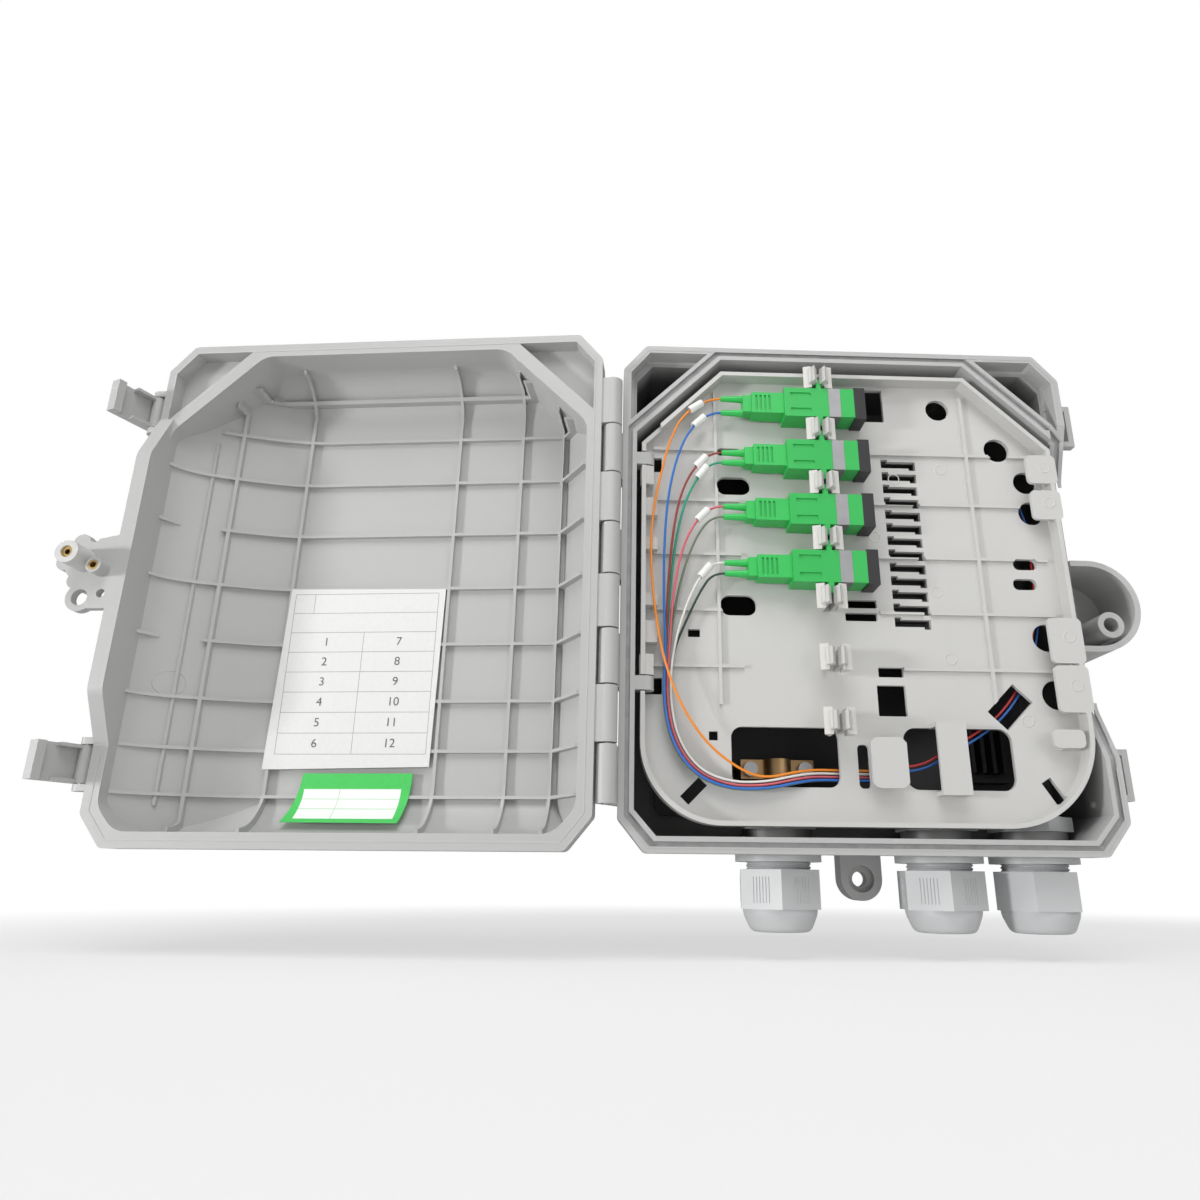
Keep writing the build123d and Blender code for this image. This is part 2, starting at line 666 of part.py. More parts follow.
TRAY_RIB_XS = (-50.7, 48.5)
TRAY_RIB_ZS = tuple(TRAY_TOP - drop for drop in (32.1, 53.6, 75.6, 97.5, 118.7))
WINDOWS = (
    ((-28.4, TRAY_LOW + 23.8), (38.0, 20.8), 4.0),
    ((-0.9, TRAY_LOW + 20.8), (4.2, 15.2), 1.6),
    ((33.2, TRAY_LOW + 23.8), (39.0, 21.6), 4.5),
    ((12.8, ROW_TOP + 4.7), (9.0, 14.5), 0.5),
    ((2.0, ROW_TOP - 79.1), (12.4, 3.2), 0.5),
    ((2.2, ROW_TOP - 84.1), (12.0, 3.2), 0.5),
    ((11.4, TRAY_LOW + 54.6), (9.2, 3.6), 0.4),
    ((11.0, TRAY_LOW + 44.2), (10.4, 11.2), 0.4),
    ((-45.4, ROW_TOP - 17.5), (9.4, 3.2), 1.4),
    ((-44.0, ROW_TOP - 32.1), (13.0, 7.4), 3.4),
    ((-43.4, ROW_TOP - 80.5), (13.2, 7.8), 3.4),
    ((19.6 - TRAY_X, TRAY_LOW + 68.1), (4.4, 3.0), 0.3),
    ((26.0 - TRAY_X, TRAY_LOW + 30.8), (3.2, 3.2), 0.3),
    ((TRAY_X - 13.2, 9.4), (9.0, 4.4), 2.0),
    ((TRAY_X - 14.2, 1.4), (9.0, 4.4), 2.0),
)
ROUND_HOLES = (
    ((39.3, TRAY_TOP - 11.5), 4.6), ((TRAY_X - 18.2, TRAY_TOP - 28.9), 5.0), ((TRAY_X - 8.6, TRAY_TOP - 42.9), 4.6),
    ((TRAY_X - 8.0, TRAY_TOP - 55.9), 4.8), ((TRAY_X - 9.0, TRAY_LOW + 68.6), 5.2),
    ((TRAY_X - 8.2, TRAY_LOW + 47.2), 5.4),
)
SLANTS = (
    ((TRAY_X - 25.9, TRAY_LOW + 42.6), (14.6, 9.4), 45.0), ((TRAY_X - 13.6, TRAY_LOW + 12.0), (11.4, 4.0), -58.0),
    ((18.8 - TRAY_X, TRAY_LOW + 11.8), (9.4, 4.0), 45.0),
)
TABS = (
    (TRAY_X - 4.4, TRAY_TOP - 39.7, 11.6, 12.0), (TRAY_X - 4.4, TRAY_TOP - 54.7, 11.6, 12.0),
    (TRAY_X - 4.8, TRAY_LOW + 66.2, 12.4, 17.0), (TRAY_X - 4.8, TRAY_LOW + 48.4, 12.4, 17.0),
    (TRAY_X - 9.2, TRAY_LOW + 30.6, 11.4, 6.4),
)
BAR = ((29.0, TRAY_LOW + 23.4), (10.4, 25.0))
BAR_FEET = (TRAY_LOW + 35.2, TRAY_LOW + 11.6)
HOOD = ((6.4, TRAY_LOW + 21.6), (12.6, 17.4), 3.0)
HOOD_FOOT = (1.4, 14.0)
RIB_ENDS = 40.0
RIB_SHIFT = 6.0
RIB_CLEAR = 4.6
BLOCKS = ((28.4, 7.2), (13.4, 4.7), (-8.4, 4.5), (-20.6, 8.1))
tray_back = FLOOR_Y + TRAY_FLOOR
tray_edge = FLOOR_Y - TRAY_H


def row_z(k):
    """Height of adapter row k, counted from the top."""
    return ROW_TOP - k * ROW_PITCH


# Swing tray: walled floor with ribs, windows, splice comb, clip fingers and fibre tabs
with BuildPart() as splice_tray:
    with BuildSketch(facing(tray_back)):
        add(tray_outline(0))
    extrude(amount=TRAY_FLOOR + TRAY_H)
    with BuildSketch(facing(FLOOR_Y)):
        add(tray_outline(TRAY_WALL))
    extrude(amount=TRAY_H + BITE, mode=Mode.SUBTRACT)
    # Rib lattice on the floor
    with BuildSketch(facing(FLOOR_Y + BITE)):
        for x in TRAY_RIB_XS:
            with Locations((x, (TRAY_RIB_ZS[0] + TRAY_RIB_ZS[-1]) / 2 + RIB_SHIFT)):
                Rectangle(TRAY_RIB_T, TRAY_RIB_ZS[0] - TRAY_RIB_ZS[-1] + RIB_ENDS)
        for z in TRAY_RIB_ZS:
            with Locations((RIB_BREAK[0], z)):
                Rectangle(TRAY_X - RIB_CLEAR + RIB_BREAK[0], TRAY_RIB_T, align=(Align.MAX, Align.CENTER))
            with Locations((RIB_BREAK[1], z)):
                Rectangle(TRAY_X - RIB_CLEAR - RIB_BREAK[1], TRAY_RIB_T, align=(Align.MIN, Align.CENTER))
    extrude(amount=BITE + TRAY_RIB_H)
    # Windows, slots and holes through the floor
    with BuildSketch(facing(tray_back + BITE)):
        for spot, size, corner in WINDOWS:
            with Locations(spot):
                RectangleRounded(size[0], size[1], corner)
        for spot, radius in ROUND_HOLES:
            with Locations(spot):
                Circle(radius)
        for spot, size, turn in SLANTS:
            with Locations(Location((spot[0], spot[1], 0), (0, 0, turn))):
                Rectangle(*size)
        for k in range(COMB_ROWS):
            slot_z = COMB_TOP - COMB_SLOT / 2 - k * COMB_PITCH
            with Locations(((COMB_X[0] + COMB_X[1]) / 2, slot_z)):
                Rectangle(COMB_X[1] - COMB_X[0], COMB_SLOT)
            with Locations((COMB_X[1], slot_z - COMB_SLOT / 2)):
                Rectangle(TOOTH[0], TOOTH[1], align=(Align.MAX, Align.CENTER))
            with Locations((COMB_X[0], slot_z + COMB_SLOT / 2)):
                Rectangle(TOOTH[0], TOOTH[1], align=(Align.MIN, Align.CENTER))
    extrude(amount=TRAY_FLOOR + TRAY_RIB_H + 2 * BITE, mode=Mode.SUBTRACT)
    # Bar across the right window, and the hood beside it
    with BuildSketch(facing(tray_edge + TAB_T)):
        with Locations(BAR[0]):
            Rectangle(*BAR[1])
        with Locations(HOOD[0]):
            RectangleRounded(HOOD[1][0], HOOD[1][1], HOOD[2])
        for x, z, width, height in TABS:
            with Locations((x, z)):
                RectangleRounded(width, height, 2.0)
    extrude(amount=TAB_T)
    with BuildSketch(facing(tray_back)):
        for z in BAR_FEET:
            with Locations((BAR[0][0], z)):
                Rectangle(BAR[1][0], TAB_T)
        with Locations((HOOD[0][0] + 5.6, HOOD[0][1])):
            Rectangle(*HOOD_FOOT)
        for x, z, width, height in TABS[:4]:
            with Locations((TRAY_X - TRAY_WALL / 2, z)):
                Rectangle(TRAY_WALL, height)
        with Locations(TABS[4][:2]):
            Rectangle(2.0, 6.4)
    extrude(amount=TRAY_FLOOR + TRAY_H)
    # Clip fingers between the adapter places, each with a barbed tip
    for k in range(ROWS + 1):
        z = ROW_TOP + ROW_PITCH / 2 - k * ROW_PITCH - CLIP_W / 2
        with BuildSketch(level(z)):
            for side in (-1, 1):
                inner = ADAPTER_X + ADAPTER_L / 2 + side * (FLANGE_T / 2 + CLIP_GAP)
                head = FLOOR_Y - ADAPTER_D - 2 * RUN_GAP
                Polygon(
                    (inner, FLOOR_Y + BITE),
                    (inner, head),
                    (inner - side * BARB_IN, head),
                    (inner + side * CLIP_T / 2, head - CLIP_RISE),
                    (inner + side * (CLIP_T + BARB_OUT), head),
                    (inner + side * CLIP_T, head),
                    (inner + side * CLIP_T, FLOOR_Y + BITE),
                    align=None,
                )
        extrude(amount=CLIP_W)
    # Guide blocks along the left wall
    with BuildSketch(facing(tray_back)):
        for z, height in BLOCKS:
            with Locations((-TRAY_X + 3.0, z)):
                Rectangle(6.0, height)
    extrude(amount=TRAY_FLOOR + TRAY_H - 2.0)
    # Hinge ears
    for z in HOOK_HEIGHTS:
        ear_low = z - HOOK_H / 2 - HOOK_GAP - EAR_H if z > 0 else z + HOOK_H / 2 + HOOK_GAP
        hook_low = z - HOOK_H / 2 - HOOK_GAP
        with BuildSketch(facing(tray_back + BITE)):
            with Locations((-TRAY_X + 3.4, z)):
                Rectangle(9.0, HOOK_H + 2 * HOOK_GAP)
        extrude(amount=TRAY_H + TRAY_FLOOR + 2 * BITE, mode=Mode.SUBTRACT)
        with BuildSketch(level(ear_low)):
            with Locations((TRAY_AXIS_X, TRAY_AXIS_Y)):
                Circle(TRAY_EAR_R - RUN_GAP)
            Polygon(
                (-TRAY_X, TRAY_AXIS_Y),
                (-TRAY_X, tray_back),
                (-TRAY_X + 4.6, tray_back),
                (-TRAY_X + 4.6, TRAY_AXIS_Y - TRAY_EAR_R + 1.0),
                (TRAY_AXIS_X, TRAY_AXIS_Y - TRAY_EAR_R + RUN_GAP),
                align=None,
            )
        extrude(amount=EAR_H)
        with BuildSketch(level(ear_low)):
            with Locations((TRAY_AXIS_X, TRAY_AXIS_Y)):
                Circle(TRAY_PIN_R + FIT)
        extrude(amount=EAR_H, mode=Mode.SUBTRACT)
    # the wall's front edge gives way to the base's rim as the tray swings past square
    with Locations((TRAY_RELIEF_AT[0], tray_edge, TRAY_RELIEF_AT[1])):
        Box(*TRAY_RELIEF, mode=Mode.SUBTRACT)
splice_tray.part.label = "splice_tray"
export_step(splice_tray.part, "parts/splice_tray.step")

# Pins of the tray hinge
with BuildPart() as tray_hinge_pins:
    for z in HOOK_HEIGHTS:
        low = z - HOOK_H / 2 - HOOK_GAP - EAR_H if z > 0 else z - HOOK_H / 2
        with BuildSketch(level(low)):
            with Locations((TRAY_AXIS_X, TRAY_AXIS_Y)):
                Circle(TRAY_PIN_R)
        extrude(amount=HOOK_H + HOOK_GAP + EAR_H)
tray_hinge_pins.part.label = "tray_hinge_pins"
export_step(tray_hinge_pins.part, "parts/tray_hinge_pins.step")

# Splice holder under the comb, where the fibres end
holder_z = (COMB_TOP - (COMB_ROWS - 1) * COMB_PITCH - COMB_SLOT - 2, COMB_TOP + 2)
with BuildPart() as splice_holder:
    with BuildSketch(facing(tray_back + HOLDER_T)):
        with Locations(((COMB_X[0] + COMB_X[1]) / 2, sum(holder_z) / 2)):
            Rectangle(COMB_X[1] - COMB_X[0] + 5, holder_z[1] - holder_z[0])
    extrude(amount=HOLDER_T)
    with BuildSketch(facing(tray_back + HOLDER_T - 1.2)):
        for k in range(COMB_ROWS):
            with Locations(((COMB_X[0] + COMB_X[1]) / 2, COMB_TOP - COMB_SLOT / 2 - k * COMB_PITCH)):
                Rectangle(COMB_X[1] - COMB_X[0] - 1, COMB_SLOT - 0.6)
    extrude(amount=HOLDER_T, mode=Mode.SUBTRACT)
splice_holder.part.label = "splice_holder"
export_step(splice_holder.part, "parts/splice_holder.step")

# Adapters with their bands, caps and connector pairs
adapter_y = FLOOR_Y - RUN_GAP
middle_y = adapter_y - ADAPTER_D / 2
for k in range(FITTED):
    z = row_z(k)
    with BuildPart() as adapter:
        with BuildSketch(end_at(ADAPTER_X)):
            with Locations((middle_y, z)):
                Rectangle(ADAPTER_D, ADAPTER_H)
        extrude(amount=ADAPTER_L)
        with BuildSketch(end_at(ADAPTER_X + (ADAPTER_L - FLANGE_T) / 2)):
            with Locations((middle_y, z)):
                Rectangle(ADAPTER_D, FLANGE_H)
        extrude(amount=FLANGE_T)
        with BuildSketch(end_at(ADAPTER_X + ADAPTER_L)):
            with Locations((middle_y, z)):
                Rectangle(ADAPTER_D - 2.4, ADAPTER_H - 2.4)
        extrude(amount=-ADAPTER_L * 0.4, mode=Mode.SUBTRACT)
        with BuildSketch(end_at(BAND_X)):
            with Locations((middle_y, z)):
                Rectangle(ADAPTER_D + BITE, ADAPTER_H + BITE)
                Rectangle(ADAPTER_D - 2 * BAND_T, ADAPTER_H - 2 * BAND_T, mode=Mode.SUBTRACT)
        extrude(amount=BAND_W, mode=Mode.SUBTRACT)
        for side in (-1, 1):
            with BuildSketch(facing(adapter_y - ADAPTER_D + KEY_DEEP)):
                with Locations((ADAPTER_X + KEY_X, z + side * KEY_Z)):
                    Rectangle(KEY_L, KEY_W)
            extrude(amount=2 * KEY_DEEP, mode=Mode.SUBTRACT)
    adapter.part.label = f"adapter_{k + 1}"
    export_step(adapter.part, f"parts/adapter_{k + 1}.step")

    with BuildPart() as band:
        with BuildSketch(end_at(BAND_X + FIT)):
            with Locations((middle_y, z)):
                Rectangle(ADAPTER_D, ADAPTER_H)
                Rectangle(ADAPTER_D - 2 * BAND_T, ADAPTER_H - 2 * BAND_T, mode=Mode.SUBTRACT)
        extrude(amount=BAND_W - 2 * FIT)
    band.part.label = f"adapter_band_{k + 1}"
    export_step(band.part, f"parts/adapter_band_{k + 1}.step")

    with BuildPart() as cap:
        with BuildSketch(end_at(ADAPTER_X + ADAPTER_L)):
            with Locations((middle_y, z)):
                Rectangle(ADAPTER_D, ADAPTER_H + 2 * CAP_LIP)
        extrude(amount=CAP_L)
        with BuildSketch(end_at(ADAPTER_X + ADAPTER_L)):
            with Locations((middle_y, z)):
                Rectangle(ADAPTER_D - 3.0, ADAPTER_H - 3.0)
        extrude(amount=-ADAPTER_L * 0.3)
    cap.part.label = f"dust_cap_{k + 1}"
    export_step(cap.part, f"parts/dust_cap_{k + 1}.step")

    with BuildPart() as plug:
        with BuildSketch(end_at(ADAPTER_X)):
            with Locations((middle_y, z)):
                Rectangle(PLUG_D, PLUG_H)
        extrude(amount=-PLUG_L)
        with BuildSketch(end_at(ADAPTER_X - PLUG_L)):
            with Locations((middle_y, z)):
                Rectangle(PLUG_D - 2.0, PLUG_H - 1.6)
        extrude(amount=-PLUG_NECK)
        with BuildSketch(facing(middle_y - PLUG_D / 2 + KEY_DEEP)):
            for step in range(GRIP_RIBS):
                with Locations((ADAPTER_X - PLUG_L + GRIP_FIRST + step * GRIP_PITCH, z)):
                    Rectangle(GRIP_PITCH / 2, PLUG_H - 2.4)
        extrude(amount=2 * KEY_DEEP, mode=Mode.SUBTRACT)
        half_gap = BOOT_SPREAD[str(k + 1)]
        for side in (-1, 1):
            with BuildSketch(end_at(ADAPTER_X - PLUG_L - PLUG_NECK)):
                with Locations((middle_y, z + side * half_gap)):
                    Circle(BOOT_R)
            with BuildSketch(end_at(ADAPTER_X - PLUG_L - PLUG_NECK - BOOT_L)):
                with Locations((middle_y, z + side * half_gap)):
                    Circle(BOOT_TIP_R)
            loft()
    plug.part.label = f"connector_pair_{k + 1}"
    export_step(plug.part, f"parts/connector_pair_{k + 1}.step")

# Cable glands: body through the wall, locknut inside, rubber bush and domed nut
gland_y = -GLAND_BACK
wall_in = -CAVITY_Z
collar_top = bottom_z
neck_top = collar_top - COLLAR_T
nut_top = neck_top - NECK_L
nut_low = nut_top - NUT_HEX
for number, x in enumerate(GLAND_XS, start=1):
    with BuildPart() as gland_body:
        with BuildSketch(level(nut_low + RUN_GAP)):
            with Locations((x, gland_y)):
                Circle(GLAND_R - RUN_GAP)
        extrude(amount=neck_top - nut_low - RUN_GAP)
        with BuildSketch(level(neck_top)):
            with Locations((x, gland_y)):
                Circle(COLLAR_R)
        extrude(amount=COLLAR_T)
        with BuildSketch(level(neck_top)):
            with Locations((x, gland_y)):
                Circle(GLAND_R)
        extrude(amount=wall_in - neck_top + GLAND_IN)
        with BuildSketch(level(nut_low - BITE)):
            with Locations((x, gland_y)):
                Circle(GLAND_BORE)
        extrude(amount=wall_in - nut_low + GLAND_IN + 2 * BITE, mode=Mode.SUBTRACT)
    gland_body.part.label = f"gland_body_{number}"
    export_step(gland_body.part, f"parts/gland_body_{number}.step")

    with BuildPart() as locknut:
        with BuildSketch(level(wall_in + GLAND_SEAT)):
            with Locations((x, gland_y)):
                RegularPolygon(LOCKNUT_AF / 2, 6, major_radius=False, rotation=30)
                Circle(GLAND_R + FIT, mode=Mode.SUBTRACT)
        extrude(amount=LOCKNUT_T)
    locknut.part.label = f"gland_locknut_{number}"
    export_step(locknut.part, f"parts/gland_locknut_{number}.step")

    with BuildPart() as bush:
        with BuildSketch(level(nut_low + RUN_GAP)):
            with Locations((x, gland_y)):
                Circle(GLAND_BORE - FIT)
                Circle(BUSH_BORE, mode=Mode.SUBTRACT)
        extrude(amount=NUT_HEX)
    bush.part.label = f"gland_seal_{number}"
    export_step(bush.part, f"parts/gland_seal_{number}.step")

    with BuildPart() as nut:
        with BuildSketch(level(nut_low)):
            with Locations((x, gland_y)):
                RegularPolygon(NUT_AF / 2, 6, major_radius=False, rotation=22 if number < 3 else 2)
        extrude(amount=NUT_HEX)
        with BuildSketch(Plane(origin=(x, gland_y, nut_low), x_dir=(1, 0, 0), z_dir=(0, -1, 0))):
            with BuildLine():
                Line((0, 0), (DOME_R, 0))
                Spline((DOME_R, 0), (DOME_R - 1.4, -DOME_H * 0.62), (DOME_HOLE + 2.2, -DOME_H),
                       tangents=((0, -1), (-1, -0.1)))
                Polyline((DOME_HOLE + 2.2, -DOME_H), (0, -DOME_H), (0, 0))
            make_face()
        revolve(axis=Axis((x, gland_y, 0), (0, 0, 1)))
        with BuildSketch(level(nut_low - DOME_H - BITE)):
            with Locations((x, gland_y)):
                Circle(DOME_HOLE)
        extrude(amount=DOME_H + 2 * BITE, mode=Mode.SUBTRACT)
        with BuildSketch(level(nut_low)):
            with Locations((x, gland_y)):
                Circle(GLAND_R)
        extrude(amount=NUT_HEX + BITE, mode=Mode.SUBTRACT)
    nut.part.label = f"gland_nut_{number}"
    export_step(nut.part, f"parts/gland_nut_{number}.step")

# Splice floor below the tray, with its moulded splice ribs between two stops
SPLICE_AT = (52.0, 33.6 - CAVITY_Z)
SPLICE_RIBS = 5
SPLICE_PITCH = 4.0
SPLICE_RIB_T = 1.4
SPLICE_L = 16.0
SPLICE_W = 20.0
SPLICE_STOP = 11.0
SPLICE_H = 8.0
plate_y = -WALL
with BuildPart() as splice_floor:
    with BuildSketch(facing(plate_y)):
        Polygon(*seal_points(-PLATE_INSET), align=None)
        for side in (-1, 1):
            with Locations((CLAMP_X + side * (CLAMP_L / 2 - POST_R), CLAMP_Z)):
                Circle(POST_R + RUN_GAP, mode=Mode.SUBTRACT)
    extrude(amount=PLATE_T)
    with BuildSketch(facing(plate_y - PLATE_T)):
        for k in range(SPLICE_RIBS):
            with Locations((SPLICE_AT[0] + SPLICE_PITCH * (k - (SPLICE_RIBS - 1) / 2), SPLICE_AT[1])):
                Rectangle(SPLICE_RIB_T, SPLICE_L)
        for side in (-1, 1):
            with Locations((SPLICE_AT[0], SPLICE_AT[1] + side * SPLICE_STOP)):
                Rectangle(SPLICE_W, SPLICE_RIB_T)
    extrude(amount=SPLICE_H)
splice_floor.part.label = "splice_floor"
export_step(splice_floor.part, "parts/splice_floor.step")

# Cable clamp on its posts, with two screws
post_y = -WALL - POST_H
with BuildPart() as cable_clamp:
    with BuildSketch(Plane.XY.offset(CLAMP_Z - CLAMP_W / 2)):
        with Locations((CLAMP_X, post_y)):
            Rectangle(CLAMP_L, CLAMP_T, align=(Align.CENTER, Align.MAX))
            with Locations((0, -CLAMP_T)):
                Circle(5.0)
            with Locations((0, -CLAMP_T)):
                Circle(5.0 - CLAMP_T, mode=Mode.SUBTRACT)
            Rectangle(12.0, 6.0, align=(Align.CENTER, Align.MIN), mode=Mode.SUBTRACT)
    extrude(amount=CLAMP_W)
    with BuildSketch(facing(post_y)):
        for side in (-1, 1):
            with Locations((CLAMP_X + side * (CLAMP_L / 2 - POST_R), CLAMP_Z)):
                Circle(1.3)
    extrude(amount=2 * CLAMP_T, mode=Mode.SUBTRACT)
cable_clamp.part.label = "cable_clamp"
export_step(cable_clamp.part, "parts/cable_clamp.step")

with BuildPart() as clamp_screws:
    for side in (-1, 1):
        with BuildSketch(facing(post_y - CLAMP_T)):
            with Locations((CLAMP_X + side * (CLAMP_L / 2 - POST_R), CLAMP_Z)):
                Circle(2.6)
        extrude(amount=1.8)
        with BuildSketch(facing(post_y - CLAMP_T)):
            with Locations((CLAMP_X + side * (CLAMP_L / 2 - POST_R), CLAMP_Z)):
                Circle(1.25)
        extrude(amount=-7.0)
clamp_screws.part.label = "clamp_screws"
export_step(clamp_screws.part, "parts/clamp_screws.step")

# Brass insert in the lid's guide boss
with BuildPart() as lock_insert:
    with BuildSketch(lid_at(SEAM - DIP - GUIDE_L + FIT)):
        with Locations(GUIDE):
            Circle(GUIDE_BORE - FIT)
            Circle(INSERT_BORE, mode=Mode.SUBTRACT)
    extrude(amount=GUIDE_L - FIT)
lock_insert.part.label = "lock_insert"
export_step(lock_insert.part, "parts/lock_insert.step")

# Latches, drawn shut in their own frame, which stands LATCH_REST degrees open
pin_x = BODY_W / 2 + LATCH_OUT
LATCH_SPOT = LID_REST.origin + LID_REST.x_dir * pin_x + LID_REST.z_dir * LATCH_RISE
LATCH_TURN = math.radians(LATCH_REST)
LATCH_RIGHT = LID_REST.x_dir * math.cos(LATCH_TURN) + LID_REST.z_dir * math.sin(LATCH_TURN)


def latch_level(z):
    """Plane square to a latch pin: x out from the box, y away from the base."""
    return Plane(origin=(LATCH_SPOT.X, LATCH_SPOT.Y, z), x_dir=LATCH_RIGHT, z_dir=(0, 0, -1))


plate_in = LATCH_BARREL - 0.4
hook_top = -(LATCH_RISE + CATCH_AT + CATCH_H + HOOK_GRIP)
for name, z in (("upper", LATCH_Z), ("lower", -LATCH_Z)):
    with BuildPart() as latch:
        with BuildSketch(latch_level(z + LATCH_W / 2)):
            Circle(LATCH_BARREL)
            with Locations((plate_in, 0)):
                Rectangle(LATCH_T, LATCH_L, align=(Align.MIN, Align.MAX))
            with Locations((plate_in - HOOK_IN, hook_top)):
                Rectangle(HOOK_IN + LATCH_T, LATCH_L + hook_top, align=(Align.MIN, Align.MAX))
        extrude(amount=LATCH_W)
        for side in (-1, 1):
            wall_z = z + side * (LATCH_W - LATCH_WALL_T) / 2 + LATCH_WALL_T / 2
            with BuildSketch(latch_level(wall_z)):
                with Locations((plate_in, 0)):
                    Rectangle(LATCH_WALL, LATCH_RISE + CATCH_AT - HOOK_GRIP, align=(Align.MAX, Align.MAX))
            extrude(amount=LATCH_WALL_T)
        with BuildSketch(latch_level(z + LATCH_W)):
            Circle(LATCH_PIN_R + FIT)
        extrude(amount=2 * LATCH_W, mode=Mode.SUBTRACT)
    latch.part.label = f"{name}_latch"
    export_step(latch.part, f"parts/{name}_latch.step")

with BuildPart() as latch_pins:
    for z in (LATCH_Z, -LATCH_Z):
        half = LATCH_W / 2 + RUN_GAP + LATCH_EAR_T
        with BuildSketch(lid_level(z + half)):
            with Locations((pin_x, LATCH_RISE)):
                Circle(LATCH_PIN_R)
        extrude(amount=2 * half)
latch_pins.part.label = "latch_pins"
export_step(latch_pins.part, "parts/latch_pins.step")

# Lock knob: five-lobed hand knob outside the ear, its stem through it, and a brass core
knob_foot = SEAM - DIP + EAR_T + RUN_GAP
with BuildPart() as lock_knob:
    with BuildSketch(lid_at(knob_foot)):
        with Locations((LOCK_X, LOCK_Z)):
            Circle(KNOB_R)
            with PolarLocations(LOBE_OUT, KNOB_LOBES, start_angle=70):
                Circle(LOBE_R)
            with PolarLocations(LOBE_OUT / 2, KNOB_LOBES, start_angle=70):
                Rectangle(LOBE_OUT, 2 * LOBE_R)
    extrude(amount=KNOB_H)
    with BuildSketch(lid_at(knob_foot - STEM_L)):
        with Locations((LOCK_X, LOCK_Z)):
            Circle(STEM_R)
    extrude(amount=STEM_L)
    with BuildSketch(lid_at(knob_foot - STEM_L)):
        with Locations((LOCK_X, LOCK_Z)):
            Circle(NUT_R)
    extrude(amount=NUT_L, mode=Mode.SUBTRACT)
lock_knob.part.label = "lock_knob"
export_step(lock_knob.part, "parts/lock_knob.step")

with BuildPart() as knob_insert:
    with BuildSketch(lid_at(knob_foot - STEM_L + 0.6)):
        with Locations((LOCK_X, LOCK_Z)):
            Circle(NUT_R - FIT)
            Circle(NUT_BORE, mode=Mode.SUBTRACT)
    extrude(amount=NUT_L - 0.6)
knob_insert.part.label = "knob_insert"
export_step(knob_insert.part, "parts/knob_insert.step")

# Cards that lie over the ribs of the dome
card_space = dome(WALL + RIB_H + CARD_T)
CARDS = (
    ("port_label", ((36.3, 70.6), (-25.0, 70.0), (-24.0, 1.8), (38.2, 0.8))),
    ("green_label", ((22.4, -0.6), (-18.4, -0.6), (-17.0, -18.6), (25.2, -18.4))),
)
CARDS_Z = 28.0 - BODY_H / 2
for name, corners in CARDS:
    with BuildPart() as card:
        with BuildSketch(lid_at(SEAM)):
            Polygon(*[(x, z + CARDS_Z) for x, z in corners], align=None)
        extrude(amount=LID_D)
        add(rib_line, mode=Mode.INTERSECT)
        add(card_space, mode=Mode.SUBTRACT)
    card.part.label = name
    export_step(card.part, f"parts/{name}.step")

# Splitter under the hood of the tray: the fibres end in its left face
SPLITTER = ((2.5, -64.0), (12.0, 12.0))
SPLITTER_D = 5.0
with BuildPart() as splitter:
    with BuildSketch(facing(tray_back + SPLITTER_D)):
        with Locations((SPLITTER[0][0], SPLITTER[0][1])):
            Rectangle(SPLITTER[1][0], SPLITTER[1][1], align=(Align.MIN, Align.MAX))
    extrude(amount=SPLITTER_D)
    fillet(splitter.edges().filter_by(Axis.Y), 1.0)
splitter.part.label = "splitter"
export_step(splitter.part, "parts/splitter.step")

# Fibres: right, up and height over the tray's floor, from each boot to the shared bundle
LEADS = {
    "1a": ((-64.0, 67.2, 5.2), (-69.4, 54.0, 5.4), (-72.4, 41.0, 5.4), (-75.4, 26.0, 5.4), (-76.3, 8.0, 5.5),
           (-74.8, -12.0, 5.6), (-71.4, -32.0, 5.8), (-65.4, -48.0, 5.8), (-56.5, -61.0, 5.2), (-45.8, -69.0, 4.2)),
    "1b": ((-61.6, 60.4, 5.0), (-66.6, 47.6, 4.8), (-69.8, 31.5, 4.5), (-71.2, 11.0, 4.4), (-71.3, -10.0, 4.4)),
    "2a": ((-60.6, 43.2, 4.8), (-65.4, 32.0, 4.0), (-68.2, 15.0, 3.2), (-69.8, -6.0, 3.2)),
    "2b": ((-59.6, 38.8, 4.2), (-64.2, 27.5, 3.0), (-67.2, 12.0, 2.0), (-69.2, -8.0, 2.0)),
    "3a": ((-60.0, 21.4, 4.8), (-65.0, 10.0, 3.9), (-68.0, -8.0, 3.2)),
    "3b": ((-58.8, 17.0, 4.2), (-63.4, 5.5, 2.6), (-67.2, -11.0, 2.0)),
    "4a": ((-58.6, -0.6, 4.8), (-63.4, -11.0, 3.6)),
    "4b": ((-57.8, -4.8, 3.8), (-62.6, -15.0, 2.4)),
}
LANES = {
    "1a": (1.8, 3.2), "1b": (-1.8, 4.4), "2a": (-1.8, 3.2), "2b": (-1.8, 2.0),
    "3a": (-0.6, 3.2), "3b": (-0.6, 2.0), "4a": (0.6, 3.2), "4b": (0.6, 2.0),
}
BUNDLE = (
    (-68.8, -28.0, 0.0), (-69.8, -44.0, 0.0), (-67.2, -59.0, 0.0), (-60.0, -69.6, 0.0), (-49.0, -74.0, 0.0),
    (-36.5, -73.9, 0.0), (-25.5, -71.4, -1.4), (-17.5, -70.0, -5.6), (-8.0, -70.0, -7.4), (2.5, -70.0, -7.4),
)
FEED_RISE = -3.4
